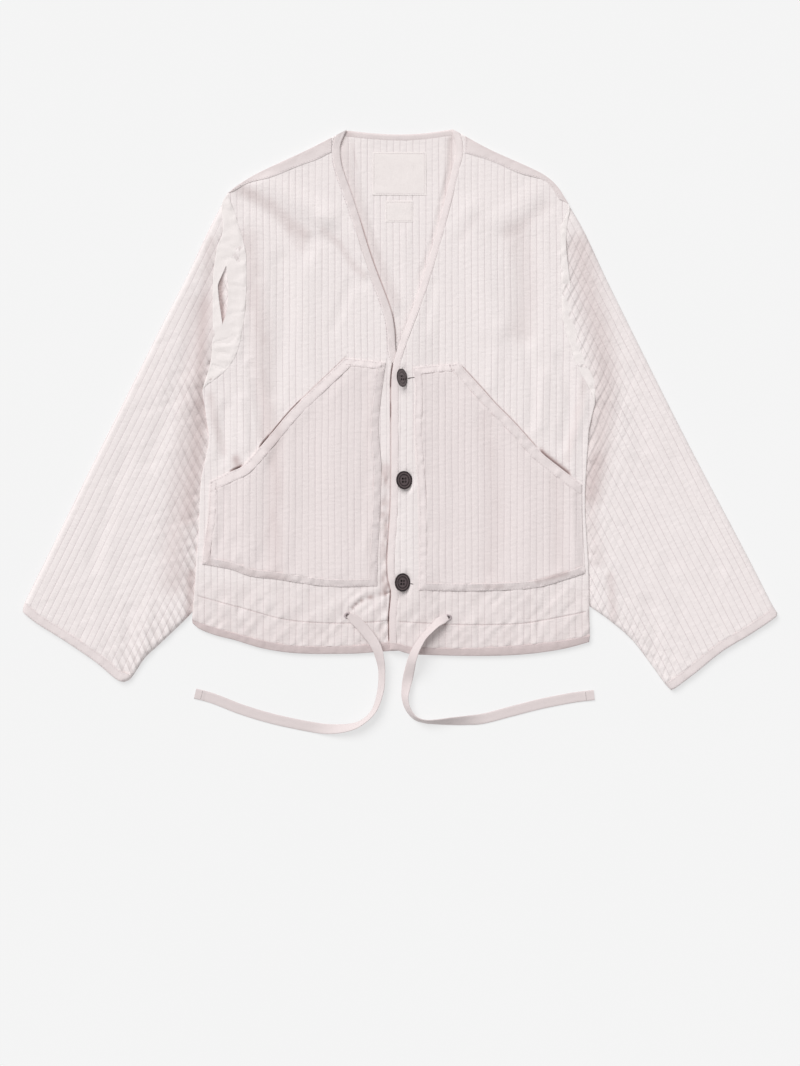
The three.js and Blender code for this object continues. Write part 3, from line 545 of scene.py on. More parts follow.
def net(polygon, cuts=(), points=(), holes=(), borders=()):
    """Triangles inside a polygon, with edges along the cuts, corners on the points, and rings
    of points beside every line"""
    loops = [(polygon, True)] + [(hole, True) for hole in holes]
    lines = loops + [(cut, False) for cut in cuts]
    spots = []
    edges = []
    count = 0
    for line, closed in lines:
        spots.append(line)
        last = len(line) if closed else len(line) - 1
        edges += [(count + index, count + (index + 1) % len(line)) for index in range(last)]
        count += len(line)
    rings = []
    for line in list(borders) + list(cuts):
        for distance in RINGS:
            rings.append((moved(line, distance), distance))
            rings.append((moved(line, -distance), distance))
    ring_points = []
    for ring, distance in rings:
        ring = ring[inside(ring, polygon)]
        for line, closed in lines:
            ring = ring[away(ring, line, closed) > min(distance, 0.9) - 0.05]
        ring_points.append(ring)
    points = np.array(points, float).reshape(-1, 2)
    points = points[inside(points, polygon)]
    limit = RINGS[-1] + 0.5
    for line, closed in lines:
        points = points[away(points, line, closed) > limit]
    corners = [Vector(spot) for spot in np.vstack(spots + ring_points + [points])]
    found = delaunay_2d_cdt(corners, edges, [], 1, 1e-3, False)
    flat = np.array([spot[:] for spot in found[0]])
    faces = np.array(found[2])
    faces = faces[inside(flat[faces].mean(axis=1), polygon)]
    for hole in holes:
        faces = faces[~inside(flat[faces].mean(axis=1), hole)]
    return flat, faces


def rim_of(faces):
    """Edges that only one triangle has, in that triangle's direction"""
    edges = faces[:, [0, 1, 1, 2, 2, 0]].reshape(-1, 2)
    ordered = np.sort(edges, axis=1)
    _, first, counts = np.unique(ordered, axis=0, return_index=True, return_counts=True)
    return edges[first[counts == 1]]


def plain_fill(spots, rim, extra):
    """A sparse net inside a rim, and where it keeps each of the rim's points"""
    used = np.unique(rim)
    order = {point: index for index, point in enumerate(used)}
    edges = [(order[a], order[b]) for a, b in rim]
    start, end = spots[rim[:, 0]], spots[rim[:, 1]]
    extra = np.array(extra, float).reshape(-1, 2)
    extra = extra[held(extra, start, end)]
    clear = [nearest_gap(point, start, end) > 0.5 for point in extra]
    extra = extra[np.array(clear, bool)]
    corners = [Vector(spot) for spot in np.vstack([spots[used], extra])]
    found = delaunay_2d_cdt(corners, edges, [], 1, 1e-5, True)
    low = np.array([spot[:] for spot in found[0]])
    faces = np.array(found[2])
    middles = low[faces].mean(axis=1)
    faces = faces[held(middles, start, end)]
    place = {}
    for new, olds in enumerate(found[3]):
        for old in olds:
            if old < len(used):
                place[used[old]] = new
    return low, faces, place


def held(points, start, end):
    """Which points lie within the ring of edges that run from start to end"""
    x, y = points[:, 0][:, None], points[:, 1][:, None]
    spans = (start[:, 1][None] > y) != (end[:, 1][None] > y)
    rise = end[:, 1] - start[:, 1]
    rise = np.where(np.abs(rise) < 1e-12, 1e-12, rise)
    cross = start[:, 0] + (y - start[:, 1]) / rise * (end[:, 0] - start[:, 0])
    return (spans & (x < cross)).sum(1) % 2 == 1


def nearest_gap(point, start, end):
    run = end - start
    share = np.clip(((point - start) * run).sum(1) / np.maximum((run ** 2).sum(1), 1e-12), 0, 1)
    return np.hypot(*(point - start - share[:, None] * run).T).min()


def scatter(spots, step):
    low, high = spots.min(axis=0), spots.max(axis=0)
    across = 2 * PITCH
    xs = np.arange(math.floor(low[0] / across) * across, high[0], across)
    ys = np.arange(low[1], high[1], step)
    return np.array([(x, y) for x in xs for y in ys])


def compact(spots, faces):
    """Only the points that the faces use, and the faces renumbered for them"""
    used = np.unique(faces)
    renumber = np.full(len(spots), -1)
    renumber[used] = np.arange(len(used))
    return spots[used], renumber[faces]


def layer(spots, faces, top, bottom, quilt=None, extra=None, step=26):
    """A closed sheet: a fine upper side, a sparse lower side and a wall round its rim"""
    spots, faces = compact(spots, faces)
    rim = rim_of(faces)
    low, low_faces, place = plain_fill(spots, rim, scatter(spots, step) if extra is None else extra)
    upper = np.column_stack([spots, top(spots)])
    lower = np.column_stack([low, bottom(low)])
    count = len(upper)
    walls = [(a, place[a] + count, place[b] + count, b) for a, b in rim]
    all_faces = faces.tolist() + (low_faces[:, ::-1] + count).tolist() + walls
    flat = np.vstack([spots, low])
    return np.vstack([upper, lower]), all_faces, quilt(flat) if quilt else flat / STITCH


def tube(spots, faces, top, bottom, fold, quilt, extra):
    """A flat tube: closed at its folds, with a thin hollow between its two layers elsewhere"""
    spots, faces = compact(spots, faces)
    rim = rim_of(faces)
    low, low_faces, place = plain_fill(spots, rim, extra)
    within = faces[fold(spots[faces].mean(axis=1)) > 4]
    gap_rim = rim_of(within)
    gap_spots, gap_faces, gap_place = plain_fill(spots, gap_rim, scatter(spots, 60))
    count = len(spots)
    ceiling = count + len(low)
    ground = ceiling + len(gap_spots)
    open_ends = {tuple(edge) for edge in gap_rim} & {tuple(edge) for edge in rim}
    walls = []
    for a, b in rim:
        if (a, b) in open_ends:
            walls.append((a, ceiling + gap_place[a], ceiling + gap_place[b], b))
            walls.append((ground + gap_place[a], place[a] + count, place[b] + count, ground + gap_place[b]))
            continue
        face = [a]
        if a in gap_place:
            face += [ceiling + gap_place[a], ground + gap_place[a]]
        face += [place[a] + count, place[b] + count]
        if b in gap_place:
            face += [ground + gap_place[b], ceiling + gap_place[b]]
        walls.append(tuple(face + [b]))
    for a, b in gap_rim:
        if (a, b) not in open_ends:
            near, far = gap_place[a], gap_place[b]
            walls.append((ceiling + near, ceiling + far, ground + far, ground + near))
    points = np.vstack([
        np.column_stack([spots, top(spots)]), np.column_stack([low, bottom(low)]),
        np.column_stack([gap_spots, np.full(len(gap_spots), SLEEVE_HOLLOW[1])]),
        np.column_stack([gap_spots, np.full(len(gap_spots), SLEEVE_HOLLOW[0])]),
    ])
    all_faces = faces.tolist() + (low_faces[:, ::-1] + count).tolist()
    all_faces += (gap_faces[:, ::-1] + ceiling).tolist() + (gap_faces + ground).tolist() + walls
    return points, all_faces, quilt(np.vstack([spots, low, gap_spots, gap_spots]))


def sweep(line, radius, sides=6):
    """A round thread along a line of points"""
    line = np.array(line, float)
    run = np.gradient(line, axis=0)
    run /= np.maximum(np.linalg.norm(run, axis=1), 1e-9)[:, None]
    up = np.where(np.abs(run[:, 2:3]) > 0.92, [[1.0, 0, 0]], [[0, 0, 1.0]])
    side = np.cross(run, up)
    side /= np.linalg.norm(side, axis=1)[:, None]
    rise = np.cross(side, run)
    radius = np.broadcast_to(radius, len(line))
    turn = np.arange(sides) * 2 * math.pi / sides
    ring = side[:, None] * np.cos(turn)[None, :, None] + rise[:, None] * np.sin(turn)[None, :, None]
    points = (line[:, None] + ring * radius[:, None, None]).reshape(-1, 3)
    last = (len(line) - 1) * sides
    faces = []
    for first in range(0, last, sides):
        for corner in range(sides):
            a, b = first + corner, first + (corner + 1) % sides
            faces.append((a, b, b + sides, a + sides))
    faces.append(tuple(range(sides - 1, -1, -1)))
    faces.append(tuple(range(last, last + sides)))
    return points, faces, points[:, :2] / STITCH


def merged(parts):
    points, faces, flats = [], [], []
    count = 0
    for part_points, part_faces, part_flat in parts:
        points.append(part_points)
        flats.append(part_flat)
        faces += [tuple(corner + count for corner in face) for face in part_faces]
        count += len(part_points)
    return np.vstack(points), faces, np.vstack(flats)


def piece(name, parts, material, nodes=(), sharp=50, shade=None, lozenges=None):
    """An object of the scene from points, faces and flat coordinates"""
    points, faces, flat = merged(parts) if isinstance(parts, list) else parts
    mesh = bpy.data.meshes.new(name)
    mesh.from_pydata((points * MM).tolist(), [], [tuple(int(i) for i in face) for face in faces])
    corners = np.empty(len(mesh.loops), dtype=np.int32)
    mesh.loops.foreach_get("vertex_index", corners)
    dim = np.clip(shade(points[:, :2]), 0, 2) if shade else np.zeros(len(points))
    drawn = np.clip(lozenges(points[:, :2]), 0, 1) if lozenges else np.zeros(len(points))
    for layer_name, places in (("quilt", flat), ("shade", np.column_stack([dim, drawn]))):
        uv_layer = mesh.uv_layers.new(name=layer_name)
        uv_layer.data.foreach_set("uv", np.asarray(places, np.float32)[corners].ravel())
    mesh.shade_smooth()
    mesh.set_sharp_from_angle(angle=math.radians(sharp))
    mesh.materials.append(material)
    made = bpy.data.objects.new(name, mesh)
    bpy.context.scene.collection.objects.link(made)
    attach(made, "root")
    if nodes:
        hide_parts(*nodes)
    return made


# Materials
FLOOR_GLOW = 0.6


def srgb(red, green, blue):
    def linear(value):
        value /= 255
        return value / 12.92 if value <= 0.04045 else ((value + 0.055) / 1.055) ** 2.4
    return (linear(red), linear(green), linear(blue), 1)


class Paint:
    """A material under construction: its node tree and its shader"""

    def __init__(self, name, color, roughness, sheen=0.0, specular=0.3):
        self.material = bpy.data.materials.new(name)
        self.material.use_nodes = True
        self.tree = self.material.node_tree
        self.shader = self.tree.nodes["Principled BSDF"]
        self.shader.inputs["Base Color"].default_value = color
        self.shader.inputs["Roughness"].default_value = roughness
        self.shader.inputs["Specular IOR Level"].default_value = specular
        self.shader.inputs["Sheen Weight"].default_value = sheen
        self.shader.inputs["Sheen Roughness"].default_value = 0.5
        self.place = self.add("ShaderNodeTexCoord").outputs["Object"]

    def add(self, kind, inputs=(), **settings):
        node = self.tree.nodes.new(kind)
        for name, value in settings.items():
            setattr(node, name, value)
        for name, value in dict(inputs).items():
            if isinstance(value, bpy.types.NodeSocket):
                self.tree.links.new(value, node.inputs[name])
            else:
                node.inputs[name].default_value = value
        return node

    def math(self, operation, first, second=0.0):
        return self.add("ShaderNodeMath", {0: first, 1: second}, operation=operation).outputs[0]

    def times(self, first, second):
        return self.math("MULTIPLY", first, second)

    def inverse(self, value):
        return self.math("SUBTRACT", 1.0, value)

    def grain(self, scale, detail=3, vector=None, rough=0.55):
        inputs = {"Vector": vector or self.place, "Scale": scale, "Detail": detail, "Roughness": rough}
        return self.add("ShaderNodeTexNoise", inputs).outputs["Fac"]

    def between(self, low, high, value):
        inputs = {"Value": value, "From Min": low, "From Max": high}
        return self.add("ShaderNodeMapRange", inputs, interpolation_type="SMOOTHSTEP").outputs["Result"]

    def mix(self, share, first, second):
        node = self.add("ShaderNodeMix", {0: share, 6: first, 7: second}, data_type="RGBA")
        return node.outputs[2]

    def weave(self, thread, angle=0):
        """Crossing threads, high where one passes over the other"""
        turned = self.add("ShaderNodeMapping", {"Vector": self.place, "Rotation": (0, 0, angle)})
        split = self.add("ShaderNodeSeparateXYZ", {0: turned.outputs[0]})
        per = math.pi / (thread * MM)
        warp = self.math("SINE", self.times(split.outputs[0], per))
        weft = self.math("SINE", self.times(split.outputs[1], per))
        return self.times(warp, weft)

    def bump(self, height, distance, strength=0.6, over=None):
        inputs = {"Height": height, "Distance": distance, "Strength": strength}
        if over is not None:
            inputs["Normal"] = over
        return self.add("ShaderNodeBump", inputs).outputs["Normal"]

    def dimmed(self, tint):
        """Cloth in shade, from pale at 0 through rose at 1 to dark brown at 2"""
        place = self.add("ShaderNodeUVMap", uv_map="shade").outputs[0]
        dim = self.add("ShaderNodeSeparateXYZ", {0: place}).outputs[0]
        tint = self.mix(self.math("MINIMUM", dim, 1.0), tint, srgb(190, 169, 167))
        deep = self.math("MAXIMUM", self.math("SUBTRACT", dim, 1.0), 0.0)
        return self.mix(deep, tint, srgb(84, 64, 60))

    def finish(self, color=None, normal=None, roughness=None):
        for name, value in (("Base Color", color), ("Normal", normal), ("Roughness", roughness)):
            if value is not None:
                self.tree.links.new(value, self.shader.inputs[name])
        return self.material


CLOTH = srgb(241, 233, 232)
CLOTH_SHADE = srgb(232, 222, 221)
TAPE = srgb(234, 224, 223)
TAPE_SHADE = srgb(226, 214, 214)


def quilted_cloth(name, light, shade):
    """Woven cotton with sewn channels: u counts channels, v counts stitches"""
    paint = Paint(name, light, 0.86, sheen=0.12, specular=0.22)
    flat = paint.add("ShaderNodeUVMap", uv_map="quilt").outputs[0]
    split = paint.add("ShaderNodeSeparateXYZ", {0: flat})
    phase = paint.math("FRACT", split.outputs[0])
    near = paint.math("MINIMUM", phase, paint.inverse(phase))
    seam = paint.inverse(paint.between(0.03, 0.085, near))
    drawn = paint.add("ShaderNodeMapping", {"Vector": flat, "Scale": (0.83, 0.03, 1)}).outputs[0]
    drawn = paint.between(0.3, 0.62, paint.grain(1, 2, vector=drawn))
    seam = paint.times(seam, paint.math("ADD", 0.45, drawn))
    dash = paint.between(0.12, 0.3, paint.math("PINGPONG", split.outputs[1], 0.5))
    stitch = paint.times(paint.inverse(paint.between(0.02, 0.045, near)), dash)
    blotch = paint.grain(9, 3)
    fibre = paint.grain(900, 3, rough=0.7)
    stretched = paint.add("ShaderNodeMapping", {"Vector": flat, "Scale": (0.55, 0.5, 1)}).outputs[0]
    crinkle = paint.grain(1.6, 3, vector=stretched, rough=0.5)
    tint = paint.mix(paint.times(blotch, 0.35), light, shade)
    tint = paint.mix(paint.times(paint.between(0.4, 0.8, fibre), 0.14), tint, shade)
    # Painted shade: the seam mask darkens the narrow valley along each stitched line
    tint = paint.mix(paint.times(seam, 0.34), tint, srgb(204, 190, 192))
    tint = paint.mix(paint.times(stitch, 0.3), tint, srgb(186, 172, 177))
    normal = paint.bump(paint.weave(0.55), 0.00012, 0.5)
    normal = paint.bump(fibre, 0.0003, 0.35, normal)
    normal = paint.bump(crinkle, 0.0012, 0.5, normal)
    slant = paint.times(split.outputs[0], PITCH * 0.62 / 9)
    slant = paint.math("SUBTRACT", slant, paint.times(split.outputs[1], STITCH * 0.78 / 9))
    slant = paint.math("ADD", slant, paint.times(paint.grain(14, 1), 1.2))
    drawn = paint.add("ShaderNodeUVMap", uv_map="shade").outputs[0]
    drawn = paint.add("ShaderNodeSeparateXYZ", {0: drawn}).outputs[1]
    second = paint.between(0.02, 0.3, paint.math("PINGPONG", slant, 0.5))
    normal = paint.bump(paint.times(second, drawn), 0.003, 0.45, normal)
    # Painted shade in the creases of the crossing folds, where the lozenge mask shows them
    fold = paint.times(paint.inverse(second), drawn)
    tint = paint.mix(paint.times(fold, 0.34), tint, srgb(204, 190, 188))
    roughness = paint.math("ADD", 0.8, paint.times(fibre, 0.14))
    return paint.finish(paint.dimmed(tint), normal, roughness)


def woven_tape(name, light, shade, thread=0.6, ribs=0.7):
    """Plain twill tape with a fine slanting rib"""
    paint = Paint(name, light, 0.88, sheen=0.15, specular=0.2)
    blotch = paint.grain(24, 3)
    fibre = paint.grain(800, 3, rough=0.7)
    tint = paint.mix(paint.times(blotch, 0.5), light, shade)
    tint = paint.mix(paint.times(paint.between(0.4, 0.8, fibre), 0.22), tint, shade)
    normal = paint.bump(paint.weave(thread, ribs), 0.00016, 0.55)
    normal = paint.bump(fibre, 0.0004, 0.4, normal)
    normal = paint.bump(paint.grain(95, 2), 0.0011, 0.4, normal)
    return paint.finish(paint.dimmed(tint), normal)


def horn(name):
    """Polished dark horn with cloudy streaks"""
    paint = Paint(name, srgb(48, 34, 37), 0.34, specular=0.4)
    paint.shader.inputs["Coat Weight"].default_value = 0.3
    paint.shader.inputs["Coat Roughness"].default_value = 0.18
    streak = paint.add("ShaderNodeMapping", {"Vector": paint.place, "Scale": (1, 3.2, 1)}).outputs[0]
    cloud = paint.between(0.35, 0.7, paint.grain(150, 5, vector=streak, rough=0.6))
    tint = paint.mix(cloud, srgb(34, 22, 25), srgb(54, 39, 42))
    flat = paint.add("ShaderNodeUVMap", uv_map="quilt").outputs[0]
    radius = paint.add("ShaderNodeVectorMath", {0: flat}, operation="LENGTH").outputs["Value"]
    face = paint.inverse(paint.between(5.2 / STITCH, 6.6 / STITCH, radius))
    tint = paint.mix(paint.times(face, 0.75), tint, srgb(104, 90, 92))
    # A lighter band round the rim's crest and inner edge: a painted highlight
    ring = paint.inverse(paint.between(8.5 / STITCH, 9.1 / STITCH, radius))
    ring = paint.times(ring, paint.between(7.5 / STITCH, 8.1 / STITCH, radius))
    tint = paint.mix(paint.times(ring, 0.55), tint, srgb(134, 118, 119))
    corner = paint.add("ShaderNodeVectorMath", {0: flat}, operation="ABSOLUTE").outputs[0]
    hole = (HOLE_OFFSET / STITCH, HOLE_OFFSET / STITCH, 0)
    gap = paint.add("ShaderNodeVectorMath", {0: corner, 1: hole}, operation="DISTANCE").outputs["Value"]
    # Near black in and just round the four holes: painted shade in the deep holes
    tint = paint.mix(paint.between(1.6 / STITCH, 1.2 / STITCH, gap), tint, srgb(6, 4, 5))
    normal = paint.bump(paint.grain(600, 2), 0.00005, 0.3)
    return paint.finish(tint, normal, paint.math("ADD", 0.24, paint.times(cloud, 0.14)))


def pale_floor():
    """A pale lit table: it glows a little, so that shadows on it stay faint"""
    paint = Paint("floor", srgb(150, 150, 150), 0.9, specular=0)
    paint.shader.inputs["Emission Color"].default_value = (1, 1, 1, 1)
    paint.shader.inputs["Emission Strength"].default_value = FLOOR_GLOW
    return paint.finish(paint.mix(paint.grain(3, 2), srgb(149, 149, 149), srgb(151, 151, 151)))


PAINTS = {
    "cloth": quilted_cloth("quilted_cotton", CLOTH, CLOTH_SHADE),
    "pocket": quilted_cloth("pocket_cotton", srgb(236, 226, 225), srgb(226, 214, 214)),
    "tape": woven_tape("tape_cotton", TAPE, TAPE_SHADE),
    "edge": woven_tape("pocket_tape", srgb(236, 226, 225), srgb(228, 216, 216)),
    "hem": woven_tape("hem_cotton", srgb(218, 203, 202), srgb(208, 192, 192)),
    "band": woven_tape("plain_cotton", srgb(244, 237, 235), srgb(237, 228, 227)),
    "label": woven_tape("label_satin", srgb(246, 238, 236), srgb(241, 232, 230), thread=0.4, ribs=0),
    "cord": woven_tape("cord_tape", srgb(226, 215, 214), srgb(211, 199, 199), thread=0.8, ribs=0.5),
    "thread": woven_tape("sewing_thread", srgb(214, 201, 203), srgb(196, 182, 185), thread=0.2),
    "button_thread": woven_tape("button_thread", srgb(74, 62, 62), srgb(52, 42, 43), thread=0.2),
    "horn": horn("polished_horn"),
}


# Heights of the body's layers
PLACKET_EDGE = 15.6
PLACKET_SLOPE = 31.2
PLACKET_RISE = 4.5


def bell(distance, width):
    """1 on a line and close to 0 past twice the width from it"""
    return np.exp(-(distance / width) ** 2)


def fade(distance, width):
    """1 at an edge, with a long soft end away from it"""
    return np.exp(-np.maximum(distance, 0) / width)


def placket(x, y):
    """How far the left front stands up over the right one"""
    across = 1 - np.clip((x - PLACKET_EDGE) / PLACKET_SLOPE, 0, 1)
    return PLACKET_RISE * across * (1 - smooth(85, 140, y))


def base_of(side, spots):
    x, y = spots[:, 0], spots[:, 1]
    return FRONT_BASE + (placket(x, y) if side == "left" else np.zeros(len(x)))


def pocket_outline(side):
    pocket = POCKETS[side]
    lines = [dense(line, 2) for line in (pocket["mouth"], pocket["seam"], pocket["edge"]) if line]
    return joined(*lines)


def front_creases(side, spots):
    """Creases of a front, without its ridges under the pocket"""
    height = crease_height(CREASES[side], spots)
    return np.where(inside(spots, pocket_outline(side)), np.minimum(height, 0), height)


def crease_height(table, spots):
    height = np.zeros(len(spots))
    for line, rise, width in table:
        distance = away(spots, curve(line, 4))
        height += rise * (1 - smooth(0, width, distance))
    return height


def wander(x, y, seed):
    return 0.55 * noise(x / 70, y / 60, seed) + 0.2 * noise(x / 21, y / 24, seed + 1)


def channel_crest(u, v, seed):
    """Padding between two stitch lines: a narrow valley at each line and a low crown between"""
    across = np.abs(np.sin(math.pi * u))
    number = np.floor(u) + 0.5
    crown = 0.08 * across * (1 + noise(number, v / 15, seed) + 0.7 * noise(number, v / 5, seed + 1))
    depth = 0.28 * (1 + 0.75 * noise(np.round(u) * 0.77, v / 45, seed + 2))
    return 0.9 + crown - depth * bell(across, 0.22)


def crossed(x, y, width, seed):
    """Wrinkles that run both ways across the cloth and leave lozenges between them"""
    rising = noise((x + y) / width, (x - y) / (5 * width), seed)
    return rising + noise((x - y) / width, (x + y) / (5 * width), seed + 1)


PHASES = np.array([0, 0.09, 0.27, 0.5, 0.73, 0.91])


def channel_grid(low, high, v_low, v_high, step=4.0):
    """Grid in channels and millimetres: u for every phase of each channel, v in rows"""
    channels = np.arange(math.floor(low / PITCH) - 1, math.ceil(high / PITCH) + 1)
    u = (channels[:, None] + PHASES[None]).ravel()
    v = np.arange(v_low, v_high, step)
    return np.repeat(u, len(v)), np.tile(v, len(u))


def body_grid(polygon, seed):
    low, high = polygon.min(axis=0), polygon.max(axis=0)
    u, v = channel_grid(low[0], high[0], low[1], high[1])
    x = u * PITCH
    return np.column_stack([x + wander(x, v, seed), v])


def body_quilt(seed):
    def flat(spots):
        x, y = spots[:, 0], spots[:, 1]
        return np.column_stack([(x - wander(x, y, seed)) / PITCH, y / STITCH])
    return flat


def area_of(polygon):
    x, y = polygon[:, 0], polygon[:, 1]
    return abs((x * np.roll(y, -1) - y * np.roll(x, -1)).sum()) / 2


SURFACES = {}


def hem_line(edges, column, step):
    """The hem's outer edge for column 1, or the inner edge of its tape for column 2"""
    return dense([[row[0], row[column]] for row in edges["hem"]], step)


# Fronts
def make_front(side):
    edges = RIGHT if side == "right" else LEFT
    seed = 11 if side == "right" else 31
    shoulder, armhole = dense(edges["shoulder"], 1.5), dense(edges["armhole"], 2)
    hem_outer, hem_inner = hem_line(edges, 1, 1.3), hem_line(edges, 2, 1.3)
    side_line = np.vstack([dense(edges["side"], 2), hem_outer[:1]])
    front = dense(edges["front"], 2)
    polygon = joined(shoulder, armhole, side_line, hem_outer, front[::-1])
    inner_x, inner_y = (hem_inner if side == "right" else hem_inner[::-1]).T
    binding_line = moved(front, FRONT_TAPE, polygon)
    binding_line = binding_line[binding_line[:, 1] > np.interp(binding_line[:, 0], inner_x, inner_y)]
    holes = [button_slot(button) for button in BUTTONS] if side == "left" else []
    holes.append(ellipse(EYELETS[side], 3.6, 2.6))
    channel = curve(CHANNEL[side], 2)
    channel = channel[inside(channel, polygon) & (away(channel, binding_line) > 1.5)]
    channel = channel[away(channel, side_line) > 1.5]
    channel = channel[np.hypot(*(channel - EYELETS[side]).T) > 6]
    mouth = dense(POCKETS[side]["mouth"], 2)
    lap = dense(LEFT["front"], 2)
    lap = lap[lap[:, 1] < 84]
    gapes = [moved(mouth, -gap if side == "left" else gap) for gap in (0.25, 1, 1.75)]
    gapes += [lap - np.array([gap, 0]) for gap in (0.25, 1, 1.75) if side == "right"]
    gapes = [line[inside(line, polygon) & (away(line, side_line) > 2)] for line in gapes]
    outward = np.sign(EYELETS[side][0])
    channels = [channel[channel[:, 0] * outward > abs(EYELETS[side][0])]]
    channels.append(channel[channel[:, 0] * outward < abs(EYELETS[side][0])])
    channels = [line for line in channels if len(line) > 2]
    spots, faces = net(
        polygon, [hem_inner, binding_line] + gapes + channels, body_grid(polygon, seed), holes,
        borders=[shoulder, armhole, side_line, hem_outer, front],
    )
    middles = spots[faces].mean(axis=1)
    in_hem = middles[:, 1] < np.interp(middles[:, 0], inner_x, inner_y)
    in_binding = ~in_hem & (away(middles, front) < FRONT_TAPE)
    quilt = body_quilt(seed)
    tape_edge = dense(edges["shoulder_tape"], 2)

    def bottom(at):
        return base_of(side, at)

    def gaping(at):
        """Hollows where the pocket's mouth or the other front stands off this one, and their painted shade
        """
        x, y = at.T
        gap = away(at, mouth)
        depth = np.zeros(len(at))
        # dark sets the hollow's depth and its painted shade alike
        for low, high, dark, width in GAPES[side]:
            shown = smooth(low, low + 5, x) * (1 - smooth(high - 5, high, x))
            depth = np.maximum(depth, dark * shown * bell(gap - 0.6, width))
        if side == "right":
            for low, high, dark in EDGE_GAPES:
                shown = smooth(low, low + 6, y) * (1 - smooth(high - 6, high, y))
                depth = np.maximum(depth, dark * shown * bell(away(at, lap) - 0.8, 0.8))
        return depth

    # Painted shade of the front: along its creases, towards the hem, along the channel's stitch line, in
    # patches and in the gapes
    def shade(at):
        x, y = at.T
        dim = crease_height(SHADES[side], at) + 0.17 * smooth(-190, -225, y)
        dim += 0.06 * smooth(-235, -270, y) + 0.35 * bell(away(at, channel), 0.7)
        strip = bell(x + 18, 8) * smooth(-40, -90, y) * (side == "right")
        # The painted shade comes in soft patches, crumpled on the right front's strip beside the placket
        shade_patches = 0.9 + 0.25 * noise(x / 9, y / 14, seed + 30)
        shade_patches += 0.9 * strip * noise(x / 3.4, y / 7, seed + 31)
        return dim * shade_patches + gaping(at)

    def binding_top(at):
        outer, place = along(at, front)
        inner = FRONT_TAPE - outer
        low = 0.7 if side == "left" else 2.2
        z = tapered(outer, FRONT_TAPE, low, PANEL_RISE + BINDING_PROUD) - 0.3 * (1 - rounded(inner, 0.8))
        z -= 0.22 * bell(inner - 1.5, STITCH_VALLEY)
        z += 0.35 * noise(place / 8, outer / 9, seed + 3) * smooth(0, 2.5, outer)
        return base_of(side, at) + z + buttons_press(side, at, z)

    def hem_top(at):
        outer, place = along(at, hem_outer)
        outer = np.minimum(outer, away(at, front))
        inner = np.interp(at[:, 0], inner_x, inner_y) - at[:, 1]
        z = tapered(outer, 9, 0.8, PANEL_RISE + BINDING_PROUD) - 0.35 * (1 - rounded(inner, 0.9))
        z -= 0.25 * bell(inner - 1.5, STITCH_VALLEY)
        z += 0.45 * noise(place / 5.5, outer / 12, seed + 4) * smooth(0, 2.5, outer)
        return base_of(side, at) + z

    def panel_top(at):
        x, y = at.T
        bind = away(at, front) - FRONT_TAPE
        hem = y - np.interp(x, inner_x, inner_y)
        free = np.minimum(np.minimum(away(at, side_line), away(at, armhole)), away(at, shoulder))
        puff = channel_crest(quilt(at)[:, 0], y, seed + 5)
        puff = 0.9 + (puff - 0.9) * smooth(-1, 7, away(at, tape_edge))
        z = PANEL_RISE - PUFF + PUFF * puff
        joint = away(at, armhole)
        beside_sleeve = smooth(-246, -236, y)
        edge_share = 0.6 + 0.28 * beside_sleeve
        z *= edge_share + (1 - edge_share) * rounded(away(at, side_line), 2.4 - beside_sleeve)
        z *= 0.75 + 0.25 * rounded(away(at, shoulder), 2)
        z += 0.2 * fade(joint, 3)
        z += front_creases(side, at) * smooth(0, 14, free)
        z -= 1.2 * gaping(at)
        z -= 0.28 * bell(bind, SEAM_VALLEY) + 0.3 * bell(hem, SEAM_VALLEY)
        drawn = away(at, channel)
        z -= 0.5 * bell(drawn, SEAM_VALLEY)
        z += 0.85 * noise(x / 5.2, y / 22, seed + 6) * fade(drawn, 15)
        z += 0.6 * noise(x / 5.6, y / 20, seed + 7) * fade(hem, 12)
        z += 0.35 * noise(x / 26, y / 7, seed + 8) * fade(bind, 9)
        z += 0.35 * noise(x / 24, y / 8, seed + 9) * fade(free, 11)
        z += 0.25 * noise(x / 30, y / 34, seed + 10)
        z += 0.8 * crossed(x, y, 8, seed + 12) * smooth(-195, -225, y)
        z += 0.3 * crossed(x, y, 12, seed + 20) * fade(joint, 16)
        if side == "right":
            strip = bell(x + 18, 8) * smooth(-40, -90, y)
            z += 1.1 * noise(x / 4, y / 8, seed + 14) * strip
        z += eyelet_pleats(side, at)
        z = np.maximum(z, 0.9)
        return base_of(side, at) + z + buttons_press(side, at, z)

    SURFACES[side] = panel_top
    panel = piece(
        f"cloth_front_{side}", layer(spots, faces[~in_hem & ~in_binding], panel_top, bottom, quilt),
        PAINTS["cloth"], [f"front_{side}"], shade=shade,
    )
    binding = piece(
        f"tape_front_{side}", layer(spots, faces[in_binding], binding_top, bottom),
        PAINTS["tape"], [f"front_binding_{side}"],
        shade=lambda at: 0.16 * smooth(-200, -260, at[:, 1]),
    )
    hem = piece(
        f"tape_hem_{side}", layer(spots, faces[in_hem], hem_top, bottom),
        PAINTS["hem"], [f"hem_binding_{side}"],
    )
    rows_of_stitches(binding_line, binding_top, -1.5, polygon)
    rows_of_stitches(hem_inner, hem_top, -1.5, polygon, toward=hem_outer)
    for line in channels:
        rows_of_stitches(line, panel_top, 0, polygon)
    area_of(polygon)


def ellipse(centre, across, up, count=28):
    turn = np.arange(count) * 2 * math.pi / count
    return np.column_stack([centre[0] + across * np.cos(turn), centre[1] + up * np.sin(turn)])


def eyelet_pleats(side, at):
    """Small pleats that run out from the sewn eyelet"""
    offset = at - np.array(EYELETS[side])
    radius = np.hypot(offset[:, 0], offset[:, 1])
    angle = np.arctan2(offset[:, 1], offset[:, 0])
    pleat = noise(8 + 2.4 * np.cos(angle), 8 + 2.4 * np.sin(angle), 71 if side == "right" else 72)
    return 1.1 * pleat * bell(radius - 9, 8) + 0.7 * bell(radius - 4.5, 1.6)


